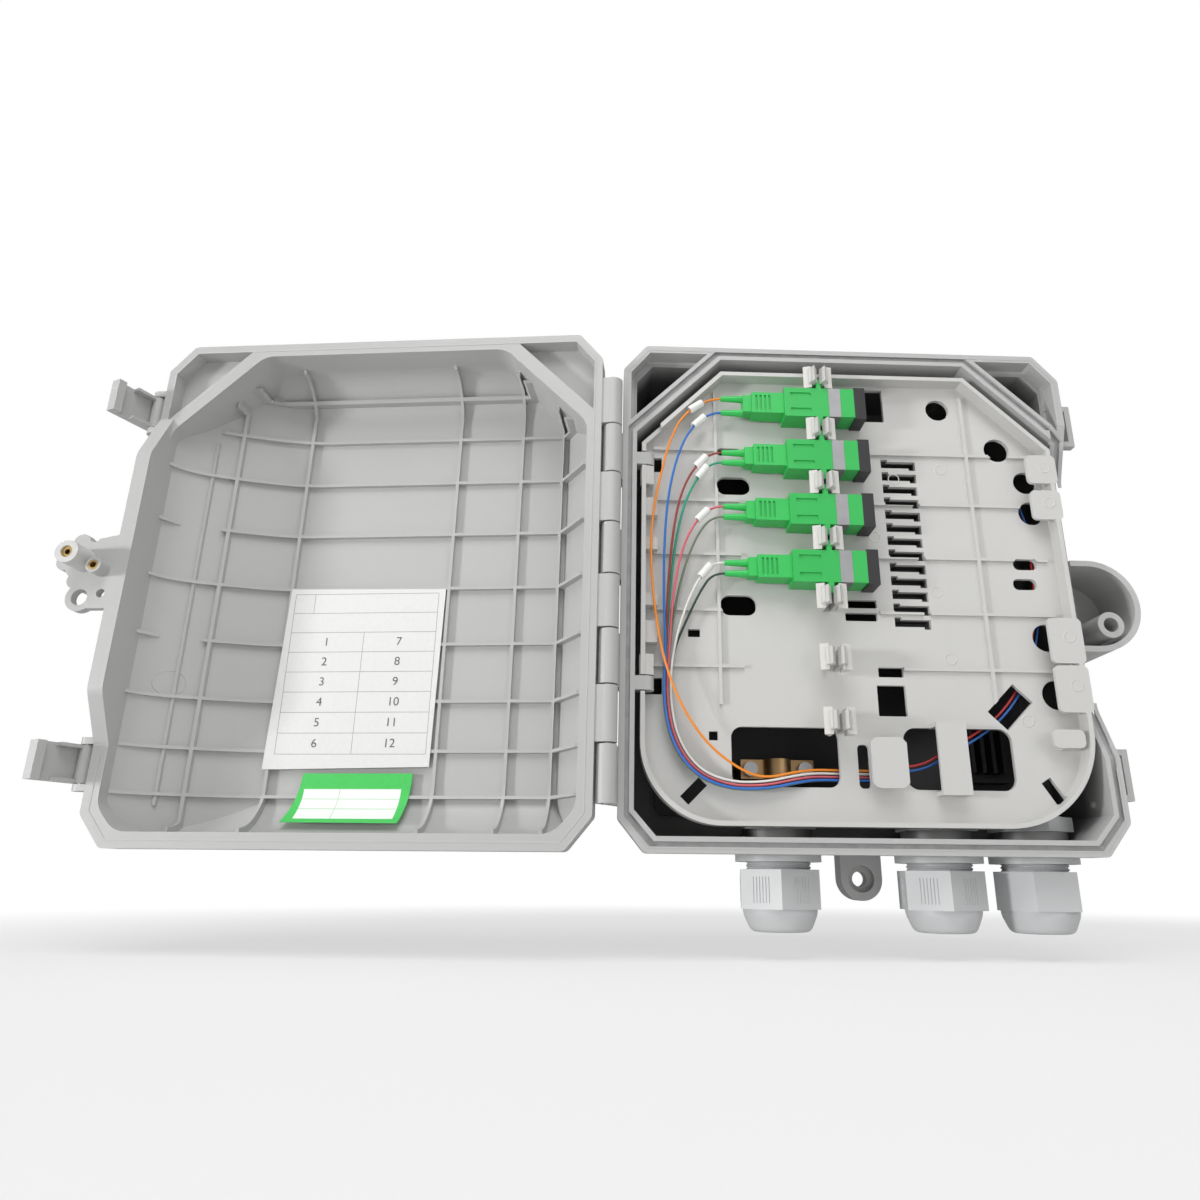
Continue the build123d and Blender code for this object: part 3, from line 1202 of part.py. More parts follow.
FEEDS = {
    "1": ((14.5, -66.6), (20.5, -66.6), (30.0, -60.6), (41.0, -55.0), (51.5, -47.4), (60.2, -36.5), (66.4, -22.0),
          (70.2, -5.0), (71.0, 13.0), (69.0, 31.0), (62.8, 46.4), (51.6, 57.8), (37.0, 63.2), (26.6, 62.4),
          (21.8, 58.6), (21.8, 53.5)),
    "2": ((14.5, -68.2), (20.5, -68.2), (31.0, -62.2), (42.0, -56.3), (52.6, -48.5), (61.6, -37.1), (67.9, -22.5),
          (71.7, -5.2), (72.6, 13.2), (70.5, 31.5), (63.9, 47.5), (52.3, 59.3), (36.9, 65.0), (25.6, 64.2),
          (20.2, 59.6), (20.2, 53.5)),
}


def lane(points, side):
    """Points of the bundle moved sideways, so that its fibres run beside each other."""
    moved = []
    for k, (x, z, rise) in enumerate(points):
        before, after = points[max(k - 1, 0)], points[min(k + 1, len(points) - 1)]
        run_x, run_z = after[0] - before[0], after[1] - before[1]
        length = math.hypot(run_x, run_z)
        moved.append((x - side * run_z / length, z + side * run_x / length, rise))
    return moved


def tube(points):
    """Round tube along straight runs that are joined by tangent arcs as large as the runs allow."""
    spots = [Vector(x, FLOOR_Y - rise, z) for x, z, rise in points]
    radii = []
    for before, spot, after in zip(spots, spots[1:], spots[2:]):
        turn = math.radians((spot - before).get_angle(after - spot))
        radii.append(0.45 * min((spot - before).length, (after - spot).length) / math.tan(turn / 2))
    with BuildPart() as run:
        with BuildLine() as path:
            FilletPolyline(*spots, radius=radii)
        with BuildSketch(Plane(origin=path.wire() @ 0, z_dir=path.wire() % 0)):
            Circle(FIBRE_R)
        sweep(path=path.wire())
    return run.part


boot_tip = ADAPTER_X - PLUG_L - PLUG_NECK - BOOT_L
boot_rise = RUN_GAP + ADAPTER_D / 2
runs = {}
for name, lead in LEADS.items():
    side, rise = LANES[name]
    start_z = row_z(int(name[0]) - 1) + BOOT_SPREAD[name[0]] * (1 if name[1] == "a" else -1)
    shared = BUNDLE[5:] if name == "1a" else BUNDLE
    runs[name] = [(boot_tip, start_z, boot_rise), (boot_tip - BOOT_RUN, start_z, boot_rise)] + list(lead)
    runs[name] += [(x, z, rise + drop) for x, z, drop in lane(shared, side)]
    fibre = tube(runs[name])
    fibre.label = f"fibre_{name}"
    export_step(fibre, f"parts/fibre_{name}.step")
for name, route in FEEDS.items():
    feed = tube([(x, z, FEED_RISE) for x, z in route])
    feed.label = f"feed_fibre_{name}"
    export_step(feed, f"parts/feed_fibre_{name}.step")

# White marker sleeves, each round the middle of one run of a fibre
SLEEVES = (("1a", 2), ("1b", 2), ("2a", 2), ("2b", 2), ("3a", 2), ("4a", 2))
with BuildPart() as marker_sleeves:
    for name, k in SLEEVES:
        (x0, z0, rise0), (x1, z1, rise1) = runs[name][k - 1], runs[name][k]
        start, end = Vector(x0, FLOOR_Y - rise0, z0), Vector(x1, FLOOR_Y - rise1, z1)
        with BuildSketch(Plane(origin=(start + end) / 2, z_dir=end - start)):
            Circle(SLEEVE_R)
            Circle(SLEEVE_BORE, mode=Mode.SUBTRACT)
        extrude(amount=SLEEVE_L / 2, both=True)
marker_sleeves.part.label = "marker_sleeves"
export_step(marker_sleeves.part, "parts/marker_sleeves.step")
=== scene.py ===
"""Fibre distribution box: stage, finishes, fibres, label print and small moulded detail."""

import math

import bpy
import numpy as np
from mathutils import Matrix, Vector
from mathutils.bvhtree import BVHTree


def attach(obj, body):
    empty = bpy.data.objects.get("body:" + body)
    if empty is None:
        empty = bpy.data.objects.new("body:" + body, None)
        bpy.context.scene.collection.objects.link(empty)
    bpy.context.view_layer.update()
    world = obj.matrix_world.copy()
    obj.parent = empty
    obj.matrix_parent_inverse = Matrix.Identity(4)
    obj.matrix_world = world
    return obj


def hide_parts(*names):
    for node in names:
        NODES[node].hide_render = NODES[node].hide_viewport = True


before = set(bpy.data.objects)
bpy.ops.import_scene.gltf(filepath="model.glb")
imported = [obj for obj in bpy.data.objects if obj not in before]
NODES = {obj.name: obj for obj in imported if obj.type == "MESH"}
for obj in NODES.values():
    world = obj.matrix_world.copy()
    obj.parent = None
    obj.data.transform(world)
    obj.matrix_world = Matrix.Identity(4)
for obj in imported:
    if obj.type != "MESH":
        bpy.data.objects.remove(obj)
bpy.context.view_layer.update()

bl_info = {
    "name": "Fibre distribution box",
    "version": (1, 0, 0),
    "blender": (4, 5, 0),
    "location": "3D View > Sidebar > Fibre Box",
    "description": "Finishes, fibres, label print and small mouldings of a wall box for fibre",
    "category": "Object",
}

MM = 0.001

# The photograph's camera, in the frame of the box
PICTURE = 1200
FOCAL = 855.0
PRINCIPAL = (635.3, 594.9)
CAMERA_AT = (-91.4, -334.9, -104.6)
CAMERA_PITCH = 18.27
CAMERA_YAW = -1.89
CAMERA_ROLL = 0.53
SENSOR = 36.0
NEAREST = 0.01

# The stage's floor, in millimetres, and how bright its paper and the world's light are
FLOOR_Z = -131.0
FLOOR_HALF = 1600.0
FLOOR_NEAR = 260.0
FLOOR_FAR = 620.0
FLOOR_PAPER = 0.55
WORLD_LIGHT = 0.28

# The lamps, in metres and watts: name, place, what it points at, side of its square and power
LAMPS = (
    ("key_panel", (-0.15, -0.75, 0.95), (-0.05, 0.0, 0.0), 0.8, 8.4),
    ("side_panel", (-1.35, -0.62, -0.06), (-0.15, -0.05, 0.0), 0.16, 10.5),
    ("fill_panel", (0.75, -1.1, 0.25), (0.0, 0.0, 0.0), 0.9, 3.2),
)

# Places on the box, in millimetres
HINGE = (-91.0, -45.87)
HINGE_RISE = 3.87
LID_OPEN = 185.87
TRAY_FLOOR_Y = -35.5
GLAND_XS = (-29.1, 28.9, 63.6)
GLAND_Y = -17.5
NECK = (-99.0, -101.6)
THREAD_R = 10.9
THREAD_DEPTH = 0.55
THREAD_PITCH = 1.3
THREAD_STEPS = 6
CREST_SLOPE = 1.6
CREST_DROP = 0.3
NUT_AF = 27.0
LABEL_OUT = 25.2
PRINT_OVER = 0.04
NUMBER_H = 4.6
ROW_TOP = 71.5
ROW_PITCH = 22.6

# Fibres: right, up and height over the tray's floor. Each lead runs from its boot to the shared
# bundle, where each fibre keeps its lane: how far it lies to the side, and its height
BOOT_TIP = -48.9
BOOT_RISE = 5.0
BOOT_RUN = 4.4
BOOT_SPREAD = {"1": 3.1, "2": 2.1, "3": 2.1, "4": 2.1}
LEADS = {
    "1a": (
        (-64.0, 67.2, 5.2), (-69.4, 54.0, 5.4), (-72.4, 41.0, 5.4), (-75.4, 26.0, 5.4),
        (-76.3, 8.0, 5.5), (-74.8, -12.0, 5.6), (-71.4, -32.0, 5.8), (-65.4, -48.0, 5.8),
        (-56.5, -61.0, 5.2), (-45.8, -69.0, 4.2),
    ),
    "1b": (
        (-61.6, 60.4, 5.0), (-66.6, 47.6, 4.8), (-69.8, 31.5, 4.5), (-71.2, 11.0, 4.4),
        (-71.3, -10.0, 4.4),
    ),
    "2a": ((-60.6, 43.2, 4.8), (-65.4, 32.0, 4.0), (-68.2, 15.0, 3.2), (-69.8, -6.0, 3.2)),
    "2b": ((-59.6, 38.8, 4.2), (-64.2, 27.5, 3.0), (-67.2, 12.0, 2.0), (-69.2, -8.0, 2.0)),
    "3a": ((-60.0, 21.4, 4.8), (-65.0, 10.0, 3.9), (-68.0, -8.0, 3.2)),
    "3b": ((-58.8, 17.0, 4.2), (-63.4, 5.5, 2.6), (-67.2, -11.0, 2.0)),
    "4a": ((-58.6, -0.6, 4.8), (-63.4, -11.0, 3.6)),
    "4b": ((-57.8, -4.8, 3.8), (-62.6, -15.0, 2.4)),
}
LANES = {
    "1a": (1.8, 3.2), "1b": (-1.8, 4.4), "2a": (-1.8, 3.2), "2b": (-1.8, 2.0),
    "3a": (-0.6, 3.2), "3b": (-0.6, 2.0), "4a": (0.6, 3.2), "4b": (0.6, 2.0),
}
BUNDLE = (
    (-68.8, -28.0, 0.0), (-69.8, -44.0, 0.0), (-67.2, -59.0, 0.0), (-60.0, -69.6, 0.0),
    (-49.0, -74.0, 0.0), (-36.5, -73.9, 0.0), (-25.5, -71.4, -1.4), (-17.5, -70.0, -5.6),
    (-8.0, -70.0, -7.4), (2.5, -70.0, -7.4),
)
JOINS_AT = 5
FEED_RISE = -3.4
FEEDS = {
    "1": (
        (14.5, -66.6), (20.5, -66.6), (30.0, -60.6), (41.0, -55.0), (51.5, -47.4), (60.2, -36.5),
        (66.4, -22.0), (70.2, -5.0), (71.0, 13.0), (69.0, 31.0), (62.8, 46.4), (51.6, 57.8),
        (37.0, 63.2), (26.6, 62.4), (21.8, 58.6), (21.8, 53.5),
    ),
    "2": (
        (14.5, -68.2), (20.5, -68.2), (31.0, -62.2), (42.0, -56.3), (52.6, -48.5), (61.6, -37.1),
        (67.9, -22.5), (71.7, -5.2), (72.6, 13.2), (70.5, 31.5), (63.9, 47.5), (52.3, 59.3),
        (36.9, 65.0), (25.6, 64.2), (20.2, 59.6), (20.2, 53.5),
    ),
}
FIBRE_D = 0.9

# Inside of the tub, where shade is painted: its mouth and full depth, half width and height, back,
# and how dark it gets
MOUTH_Y = (-40.5, -24.0)
TUB_INNER = (82.8, 92.8)
TUB_BACK = -1.3
TUB_SHADE = 0.86

# Rib ends on the lid's free wall, in the lid's frame: x along it and out from its rim
RIB_T = 1.2
RIB_PAST = 3.2
WALL_FOOT = ((76.0, 1.4), (72.5, 1.5), (68.5, 1.7), (64.2, 1.9))
WALL_RIB = ((81.4, 0.8), (80.2, 1.1), (78.6, 1.3)) + WALL_FOOT
WALL_FIN = ((81.4, 2.6), (80.2, 2.3), (78.6, 1.5)) + WALL_FOOT
LONE_FIN = ((81.4, 2.6), (80.2, 2.3), (78.6, 1.2), (77.2, 0.3))
HIGH_RIB = ((70.0, 0.8), (68.5, 1.7), (64.2, 1.9))
RIB_ENDS = (
    (HIGH_RIB, (66.0,)),
    (WALL_RIB, (-61.5, -78.0)),
    (WALL_FIN, (46.5, 1.5, -43.0)),
    (LONE_FIN, (24.0, -21.0)),
)
UPRIGHT_X = 70.5
UPRIGHT_ZS = (61.0, 56.0, 35.0, 12.5, -10.0, -32.0, -52.0, -70.0, -75.0, -82.0)
UPRIGHT_H = 1.0
LID_MARK = ((72.4, -38.0), 4.4)

# Round marks of the mould's pins on the tray: right, up and height over its floor
TRAY_MARKS = (
    (37.9, 48.5, 0.0), (31.5, -2.2, 0.0), (19.0, 44.0, 0.0), (9.6, 19.5, 0.0),
    (34.0, -28.0, 0.0), (59.5, -50.3, 0.0), (76.2, 47.6, 6.0), (76.2, 32.6, 6.0),
    (76.0, -20.4, 6.0), (76.0, -38.4, 6.0),
)
MARK_R = 1.9
MARK_W = 0.35
MARK_H = 0.12

# Clips between the adapter places: the outline of a barb and of its tip, each right of the
# clip's middle and at its depth, and how far they reach up and down
CLIP_MIDDLE = -10.85
CLIP_TOP = ROW_TOP + ROW_PITCH / 2
CLIP_COUNT = 7
CLIP_HALF = 4.7
TIP_HALF = 2.82
CLIP_BARB = ((2.6, -45.4), (5.6, -44.6), (5.4, -43.6), (2.6, -39.4))
CLIP_TIP = ((1.2, -45.3), (3.2, -47.3), (3.9, -45.3))

# Beads on the two rims: the rim's half sizes and corners, and where the step in it begins and ends
RIM_HALF = (87.0, 97.0)
RIM_CORNER = (9.0, 11.0)
RIM_STEP = (69.0, -67.0)
BEAD_W = 0.55
BEAD_H = 0.13
BASE_BEAD_IN = 1.5
LID_BEAD_IN = 2.6
RIM_Y = -42.0
SEAM = 0.3

# Flutes on the flats of two gland nuts
FLUTED = (1, 2)
FLUTE_Z = (-104.0, -112.6)
FLUTE_STEP = 5.0
FLUTE_OVER = 0.16
FLUTE_HALF = 0.3
FLAT_REACH = 13.95

# Ruled tables on the labels, in the lid's own millimetres: x along the lid and z up
TABLE_X = (-22.4, 34.4)
TABLE_MIDDLE = 5.6
TABLE_CELL = 26.6
TABLE_TOP = -0.6
TABLE_ROW = 7.75
TABLE_ROWS = 8
TABLE_HEAD = 2
RULE_HALF = 0.11
GREEN_CELLS_X = (-14.6, 21.4)
GREEN_CELLS_Z = (-86.0, -75.2)
GREEN_MIDDLE = 8.0
GREEN_RULE_HALF = 0.12
GREEN_ROWS = 3

# Steps round a circle, and how finely each kind of noise is grained
ROUND = 48
MARK_ROUND = 32
CLOUDS = 14.0
SCUFFS = 90.0
SCUFF_FROM = 0.66
SCUFF_SHARE = 0.105
GRAIN = 2600.0
FLOW = 60.0
FINE = 900.0
LINES = 900.0
TARNISH = 120.0
BLOOM = 200.0
PORES = 1400.0
PAPER = 700.0
INK = 500.0
WHITE = (1.0, 1.0, 1.0, 1.0)

SWING = math.radians(-LID_OPEN)
LID_RIGHT = np.array((math.cos(SWING), math.sin(SWING), 0.0))
LID_OUT = np.array((math.sin(SWING), -math.cos(SWING), 0.0))
LID_ORIGIN = np.array((HINGE[0], HINGE[1], 0.0)) - LID_RIGHT * HINGE[0] - LID_OUT * HINGE_RISE


def lid_point(x, out, z):
    """A point of the open lid: x along it, out from its rim and z up, given in the box's frame."""
    return LID_ORIGIN + LID_RIGHT * x + LID_OUT * out + np.array((0.0, 0.0, z))


def circle(steps):
    """Angles evenly round a circle, the first of them 0."""
    return np.linspace(0.0, 2.0 * math.pi, steps + 1)[:-1]


def grid_mesh(name, points, close_u=False, close_v=False, caps=False):
    """Mesh of a grid of points, in millimetres: each cell of four neighbours is one face.

    A closed direction joins its last row to its first, and caps fill the two ends of a tube.
    """
    rows, columns = points.shape[:2]
    index = np.arange(rows * columns).reshape(rows, columns)
    if close_u:
        index = np.concatenate((index, index[:1]), axis=0)
    if close_v:
        index = np.concatenate((index, index[:, :1]), axis=1)
    cells = np.stack((index[:-1, :-1], index[1:, :-1], index[1:, 1:], index[:-1, 1:]), axis=-1)
    faces = cells.reshape(-1, 4).tolist()
    if caps:
        faces.append(index[0, :columns].tolist())
        faces.append(index[-1, :columns][::-1].tolist())
    mesh = bpy.data.meshes.new(name)
    mesh.from_pydata((points.reshape(-1, 3) * MM).tolist(), [], faces)
    mesh.update()
    return mesh


def place(name, mesh, body, paint, smooth=True):
    """Puts a finished mesh in the scene, riding on a body and finished with a paint."""
    piece = bpy.data.objects.new(name, mesh)
    bpy.context.scene.collection.objects.link(piece)
    mesh.materials.append(paint)
    mesh.polygons.foreach_set("use_smooth", np.full(len(mesh.polygons), smooth))
    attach(piece, body)
    return piece


def joined(name, meshes):
    """One mesh that holds the faces of several."""
    points, faces, start = [], [], 0
    for mesh in meshes:
        spots = np.empty(len(mesh.vertices) * 3)
        mesh.vertices.foreach_get("co", spots)
        points.append(spots.reshape(-1, 3))
        faces += [[start + k for k in face.vertices] for face in mesh.polygons]
        start += len(mesh.vertices)
        bpy.data.meshes.remove(mesh)
    whole = bpy.data.meshes.new(name)
    whole.from_pydata(np.concatenate(points).tolist(), [], faces)
    whole.update()
    return whole


class Level:
    """A number or colour that varies over a surface: arithmetic on it adds Math nodes.

    For masks of 0 and 1, a | b is the greater of the two and a & b is their product.
    """

    def __init__(self, paint, socket):
        self.paint = paint
        self.socket = socket

    def math(self, operation, *values):
        return self.paint.add("ShaderNodeMath", {"operation": operation}, dict(enumerate(values)))

    def __add__(self, other):
        return self.math("ADD", self, other)

    def __radd__(self, other):
        return self.math("ADD", other, self)

    def __sub__(self, other):
        return self.math("SUBTRACT", self, other)

    def __rsub__(self, other):
        return self.math("SUBTRACT", other, self)

    def __mul__(self, other):
        return self.math("MULTIPLY", self, other)

    def __rmul__(self, other):
        return self.math("MULTIPLY", other, self)

    def __truediv__(self, other):
        return self.math("DIVIDE", self, other)

    def __lt__(self, other):
        return self.math("LESS_THAN", self, other)

    def __gt__(self, other):
        return self.math("GREATER_THAN", self, other)

    def __abs__(self):
        return self.math("ABSOLUTE", self)

    def __or__(self, other):
        return self.math("MAXIMUM", self, other)

    def __and__(self, other):
        return self.math("MULTIPLY", self, other)


class Paint:
    """One finish: a material whose nodes are added by add and driven by Level expressions."""

    def __init__(self, name):
        self.material = bpy.data.materials.new(name)
        self.material.use_nodes = True
        self.tree = self.material.node_tree
        self.shader = self.tree.nodes["Principled BSDF"]

    def put(self, socket, value):
        if isinstance(value, Level):
            self.tree.links.new(value.socket, socket)
        else:
            socket.default_value = value

    def add(self, kind, settings=None, inputs=None, output=0):
        """Adds a node: its settings first, such as an operation, then its inputs."""
        node = self.tree.nodes.new(kind)
        for key, value in (settings or {}).items():
            setattr(node, key, value)
        for key, value in (inputs or {}).items():
            self.put(node.inputs[key], value)
        return Level(self, node.outputs[output])

    def set(self, **values):
        for key, value in values.items():
            self.put(self.shader.inputs[key.replace("_", " ").title()], value)

    def place(self):
        return self.add("ShaderNodeTexCoord", output="Object")

    def surface(self):
        return Level(self, self.shader.outputs["BSDF"])

    def noise(self, scale, detail=3.0, roughness=0.55):
        settings = {"noise_dimensions": "3D"}
        inputs = {
            "Vector": self.place(), "Scale": scale, "Detail": detail, "Roughness": roughness,
        }
        return self.add("ShaderNodeTexNoise", settings, inputs)

    def mix(self, factor, first, second):
        """Colour between two colours."""
        settings = {"data_type": "RGBA", "clamp_factor": True}
        return self.add("ShaderNodeMix", settings, {0: factor, 6: first, 7: second}, 2)

    def bump(self, height, strength, distance):
        inputs = {"Height": height, "Strength": strength, "Distance": distance}
        return self.add("ShaderNodeBump", None, inputs)


def tone(colour, factor):
    return tuple(min(1.0, c * factor) for c in colour[:3]) + (1.0,)


def painted_shade_depth(paint, inner):
    """How deep a point lies in the tub, which sets its painted shade: 0 at its mouth, 1 at full
    depth and 0 outside the tub.

    The inside is what lies within the inner half width and height, and in front of the back.
    """
    inputs = {0: paint.place(), 1: (1.0 / MM, 1.0 / MM, 1.0 / MM)}
    spot = paint.add("ShaderNodeVectorMath", {"operation": "MULTIPLY"}, inputs)
    x, y, z = (paint.add("ShaderNodeSeparateXYZ", None, {0: spot}, axis) for axis in "XYZ")
    span = {"Value": y, "From Min": MOUTH_Y[0], "From Max": MOUTH_Y[1]}
    deep = paint.add("ShaderNodeMapRange", None, span)
    return deep * ((abs(x) < inner[0]) & (abs(z) < inner[1]) & (y < TUB_BACK))


def moulded(name, colour, roughness=0.42, cloud=0.06, shaded_tub=None):
    """Moulded plastic: slow clouds of tone, fine spark-eroded grain and a few paler scuffs.

    Given the half width and height of a tub, shade is painted into its inside, darker with depth.
    """
    paint = Paint(name)
    clouds = paint.noise(CLOUDS, 4.0)
    scuffs = paint.noise(SCUFFS, 6.0, 0.7) > SCUFF_FROM
    shade = paint.mix(clouds, tone(colour, 1.0 - cloud), tone(colour, 1.0 + cloud))
    wear_and_shade = paint.mix(scuffs * SCUFF_SHARE, shade, tone(colour, 1.15))
    if shaded_tub:
        # Painted shade: the inside of the tub darkens towards its full depth
        wear_and_shade = paint.mix(painted_shade_depth(paint, shaded_tub) * TUB_SHADE, wear_and_shade, tone(colour, 0.1))
    paint.set(
        base_color=wear_and_shade,
        roughness=roughness + clouds * 0.1,
        normal=paint.bump(paint.noise(GRAIN, 2.0), 0.25, 0.012 * MM),
    )
    return paint.material


def glossy(name, colour, roughness=0.28, cloud=0.08):
    """Glossy injection-moulded plastic with faint flow marks."""
    paint = Paint(name)
    flow = paint.noise(FLOW, 3.0)
    fine = paint.noise(FINE, 2.0)
    paint.set(
        base_color=paint.mix(flow, tone(colour, 1.0 - cloud), tone(colour, 1.0 + cloud)),
        roughness=roughness + flow * 0.12,
        normal=paint.bump(fine, 0.12, 0.02 * MM),
    )
    return paint.material


def metal(name, colour, roughness):
    """Worked metal: fine lines drawn out across the box, and cloudy tarnish."""
    paint = Paint(name)
    inputs = {"Vector": paint.place(), "Scale": (1.0, 1.0, 12.0)}
    stretched = paint.add("ShaderNodeMapping", None, inputs)
    inputs = {"Vector": stretched, "Scale": LINES, "Detail": 3.0}
    lines = paint.add("ShaderNodeTexNoise", None, inputs)
    tarnish = paint.noise(TARNISH, 3.0)
    paint.set(
        base_color=paint.mix(tarnish, tone(colour, 0.8), tone(colour, 1.1)),
        roughness=roughness + lines * 0.2,
        normal=paint.bump(lines, 0.2, 0.02 * MM),
        metallic=1.0,
    )
    return paint.material


def rubber(name, colour):
    """Dull rubber with a fine bloom."""
    paint = Paint(name)
    bloom = paint.noise(BLOOM, 4.0)
    paint.set(
        base_color=paint.mix(bloom, tone(colour, 0.8), tone(colour, 1.6)),
        roughness=0.62 + bloom * 0.2,
        normal=paint.bump(paint.noise(PORES), 0.2, 0.03 * MM),
    )
    return paint.material


def label_place(paint):
    """The two label coordinates of a point, worked out from its place on the open lid."""
    inputs = {0: paint.place(), 1: tuple(LID_ORIGIN * MM)}
    moved = paint.add("ShaderNodeVectorMath", {"operation": "SUBTRACT"}, inputs)
    inputs = {0: moved, 1: tuple(LID_RIGHT / MM)}
    x = paint.add("ShaderNodeVectorMath", {"operation": "DOT_PRODUCT"}, inputs, "Value")
    z = paint.add("ShaderNodeSeparateXYZ", None, {0: moved}, "Z") / MM
    return x, z


def rule(value, at, half=RULE_HALF):
    """One within half of a value, and nothing elsewhere."""
    return abs(value - at) < half


def within(value, low, high):
    """One between two heights or places, and nothing elsewhere."""
    return (value > low) & (value < high)


def port_card():
    """White sheet with a ruled table: a narrow header, a wide row and two columns of ports."""
    paint = Paint("port_label_sheet")
    x, z = label_place(paint)
    bottom = TABLE_TOP - TABLE_ROW * TABLE_ROWS
    across = within(x, TABLE_X[0], TABLE_X[1])
    upright = within(z, bottom, TABLE_TOP)
    ruled = rule(x, TABLE_X[0]) | rule(x, TABLE_X[1])
    ruled = ruled | (rule(x, TABLE_MIDDLE) & (z < TABLE_TOP - TABLE_HEAD * TABLE_ROW))
    ruled = ruled | (rule(x, TABLE_CELL) & (z > TABLE_TOP - TABLE_ROW))
    ruled = ruled & upright
    for k in range(TABLE_ROWS + 1):
        ruled = ruled | (rule(z, TABLE_TOP - k * TABLE_ROW) & across)
    paper = paint.noise(PAPER, 4.0)
    sheet = paint.mix(paper, (0.70, 0.70, 0.69, 1.0), (0.78, 0.78, 0.77, 1.0))
    paint.set(
        base_color=paint.mix(ruled * 0.75, sheet, (0.18, 0.18, 0.19, 1.0)),
        roughness=0.5 + paper * 0.15,
        normal=paint.bump(paper, 0.1, 0.02 * MM),
    )
    return paint.material


def green_card():
    """Green sheet with a white field of ruled cells below a bare heading."""
    paint = Paint("green_label_sheet")
    x, z = label_place(paint)
    field = within(x, *GREEN_CELLS_X) & within(z, *GREEN_CELLS_Z)
    ruled = rule(x, GREEN_MIDDLE, GREEN_RULE_HALF)
    height = (GREEN_CELLS_Z[1] - GREEN_CELLS_Z[0]) / GREEN_ROWS
    for k in range(1, GREEN_ROWS):
        ruled = ruled | rule(z, GREEN_CELLS_Z[0] + k * height, GREEN_RULE_HALF)
    paper = paint.noise(PAPER, 4.0)
    green = paint.mix(paper, (0.05, 0.52, 0.09, 1.0), (0.08, 0.60, 0.13, 1.0))
    white = paint.mix(ruled * 0.6, (0.86, 0.87, 0.85, 1.0), (0.12, 0.50, 0.16, 1.0))
    paint.set(base_color=paint.mix(field, green, white), roughness=0.42 + paper * 0.15)
    return paint.material


FINISHES = {
    "box": lambda look: moulded("box_plastic", look.box_colour),
    # The base's tub has shade painted into its inside, darker with depth
    "tub": lambda look: moulded("tub_plastic_painted_shade", look.box_colour, shaded_tub=TUB_INNER),
    "tray": lambda look: moulded("tray_plastic", look.tray_colour, 0.38, 0.04),
    "gland": lambda look: moulded("gland_plastic", look.gland_colour, 0.36, 0.04),
    "knob": lambda look: moulded("knob_plastic", look.knob_colour, 0.34),
    "floor": lambda look: moulded("splice_floor_plastic", (0.035, 0.035, 0.036), 0.5),
    "holder": lambda look: moulded("splice_holder_plastic", (0.03, 0.03, 0.031), 0.5),
    "adapter": lambda look: glossy("adapter_green", look.adapter_colour),
    "plug": lambda look: glossy("connector_green", tone(look.adapter_colour, 1.1), 0.34),
    "cap": lambda look: glossy("dust_cap_black", (0.02, 0.02, 0.022), 0.34),
    "band": lambda look: metal("adapter_band_steel", (0.40, 0.40, 0.41), 0.42),
    "pin": lambda look: metal("pin_steel", (0.56, 0.56, 0.57), 0.28),
    "clamp": lambda look: metal("clamp_bronze", (0.55, 0.36, 0.18), 0.34),
    "brass": lambda look: metal("insert_brass", (0.78, 0.56, 0.24), 0.26),
    "splitter": lambda look: metal("splitter_steel", (0.5, 0.5, 0.52), 0.3),
    "seal": lambda look: rubber("door_seal_rubber", (0.30, 0.30, 0.30)),
    "bush": lambda look: rubber("gland_seal_rubber", (0.02, 0.02, 0.02)),
    "sleeve": lambda look: moulded("marker_sleeve_white", (0.82, 0.82, 0.80), 0.4),
    "port_card": lambda look: port_card(),
    "green_card": lambda look: green_card(),
}
# The first row whose name begins a node's name gives that node's finish
NODE_FINISH = (
    ("adapter_band", "band"), ("adapter", "adapter"), ("dust_cap", "cap"),
    ("connector_pair", "plug"), ("gland_seal", "bush"), ("gland", "gland"),
    ("base_shell", "tub"), ("lid_shell", "box"), ("upper_latch", "box"), ("lower_latch", "box"),
    ("splice_tray", "tray"), ("lid_hinge_pin", "pin"), ("tray_hinge_pins", "pin"),
    ("latch_pins", "pin"), ("clamp_screws", "pin"), ("cable_clamp", "clamp"),
    ("lock_insert", "brass"), ("knob_insert", "brass"), ("door_seal", "seal"),
    ("lock_knob", "knob"), ("port_label", "port_card"), ("green_label", "green_card"),
    ("marker_sleeves", "sleeve"), ("splice_holder", "holder"), ("splice_floor", "floor"),
    ("splitter", "splitter"),
)
FIBRE_COLOURS = {
    "fibre_1a": (0.88, 0.27, 0.02), "fibre_1b": (0.02, 0.16, 0.55),
    "fibre_2a": (0.30, 0.05, 0.04), "fibre_2b": (0.02, 0.33, 0.20),
    "fibre_3a": (0.66, 0.13, 0.16), "fibre_3b": (0.16, 0.20, 0.14),
    "fibre_4a": (0.74, 0.74, 0.70), "fibre_4b": (0.03, 0.06, 0.05),
    "feed_fibre_1": (0.50, 0.03, 0.03), "feed_fibre_2": (0.02, 0.12, 0.42),
}


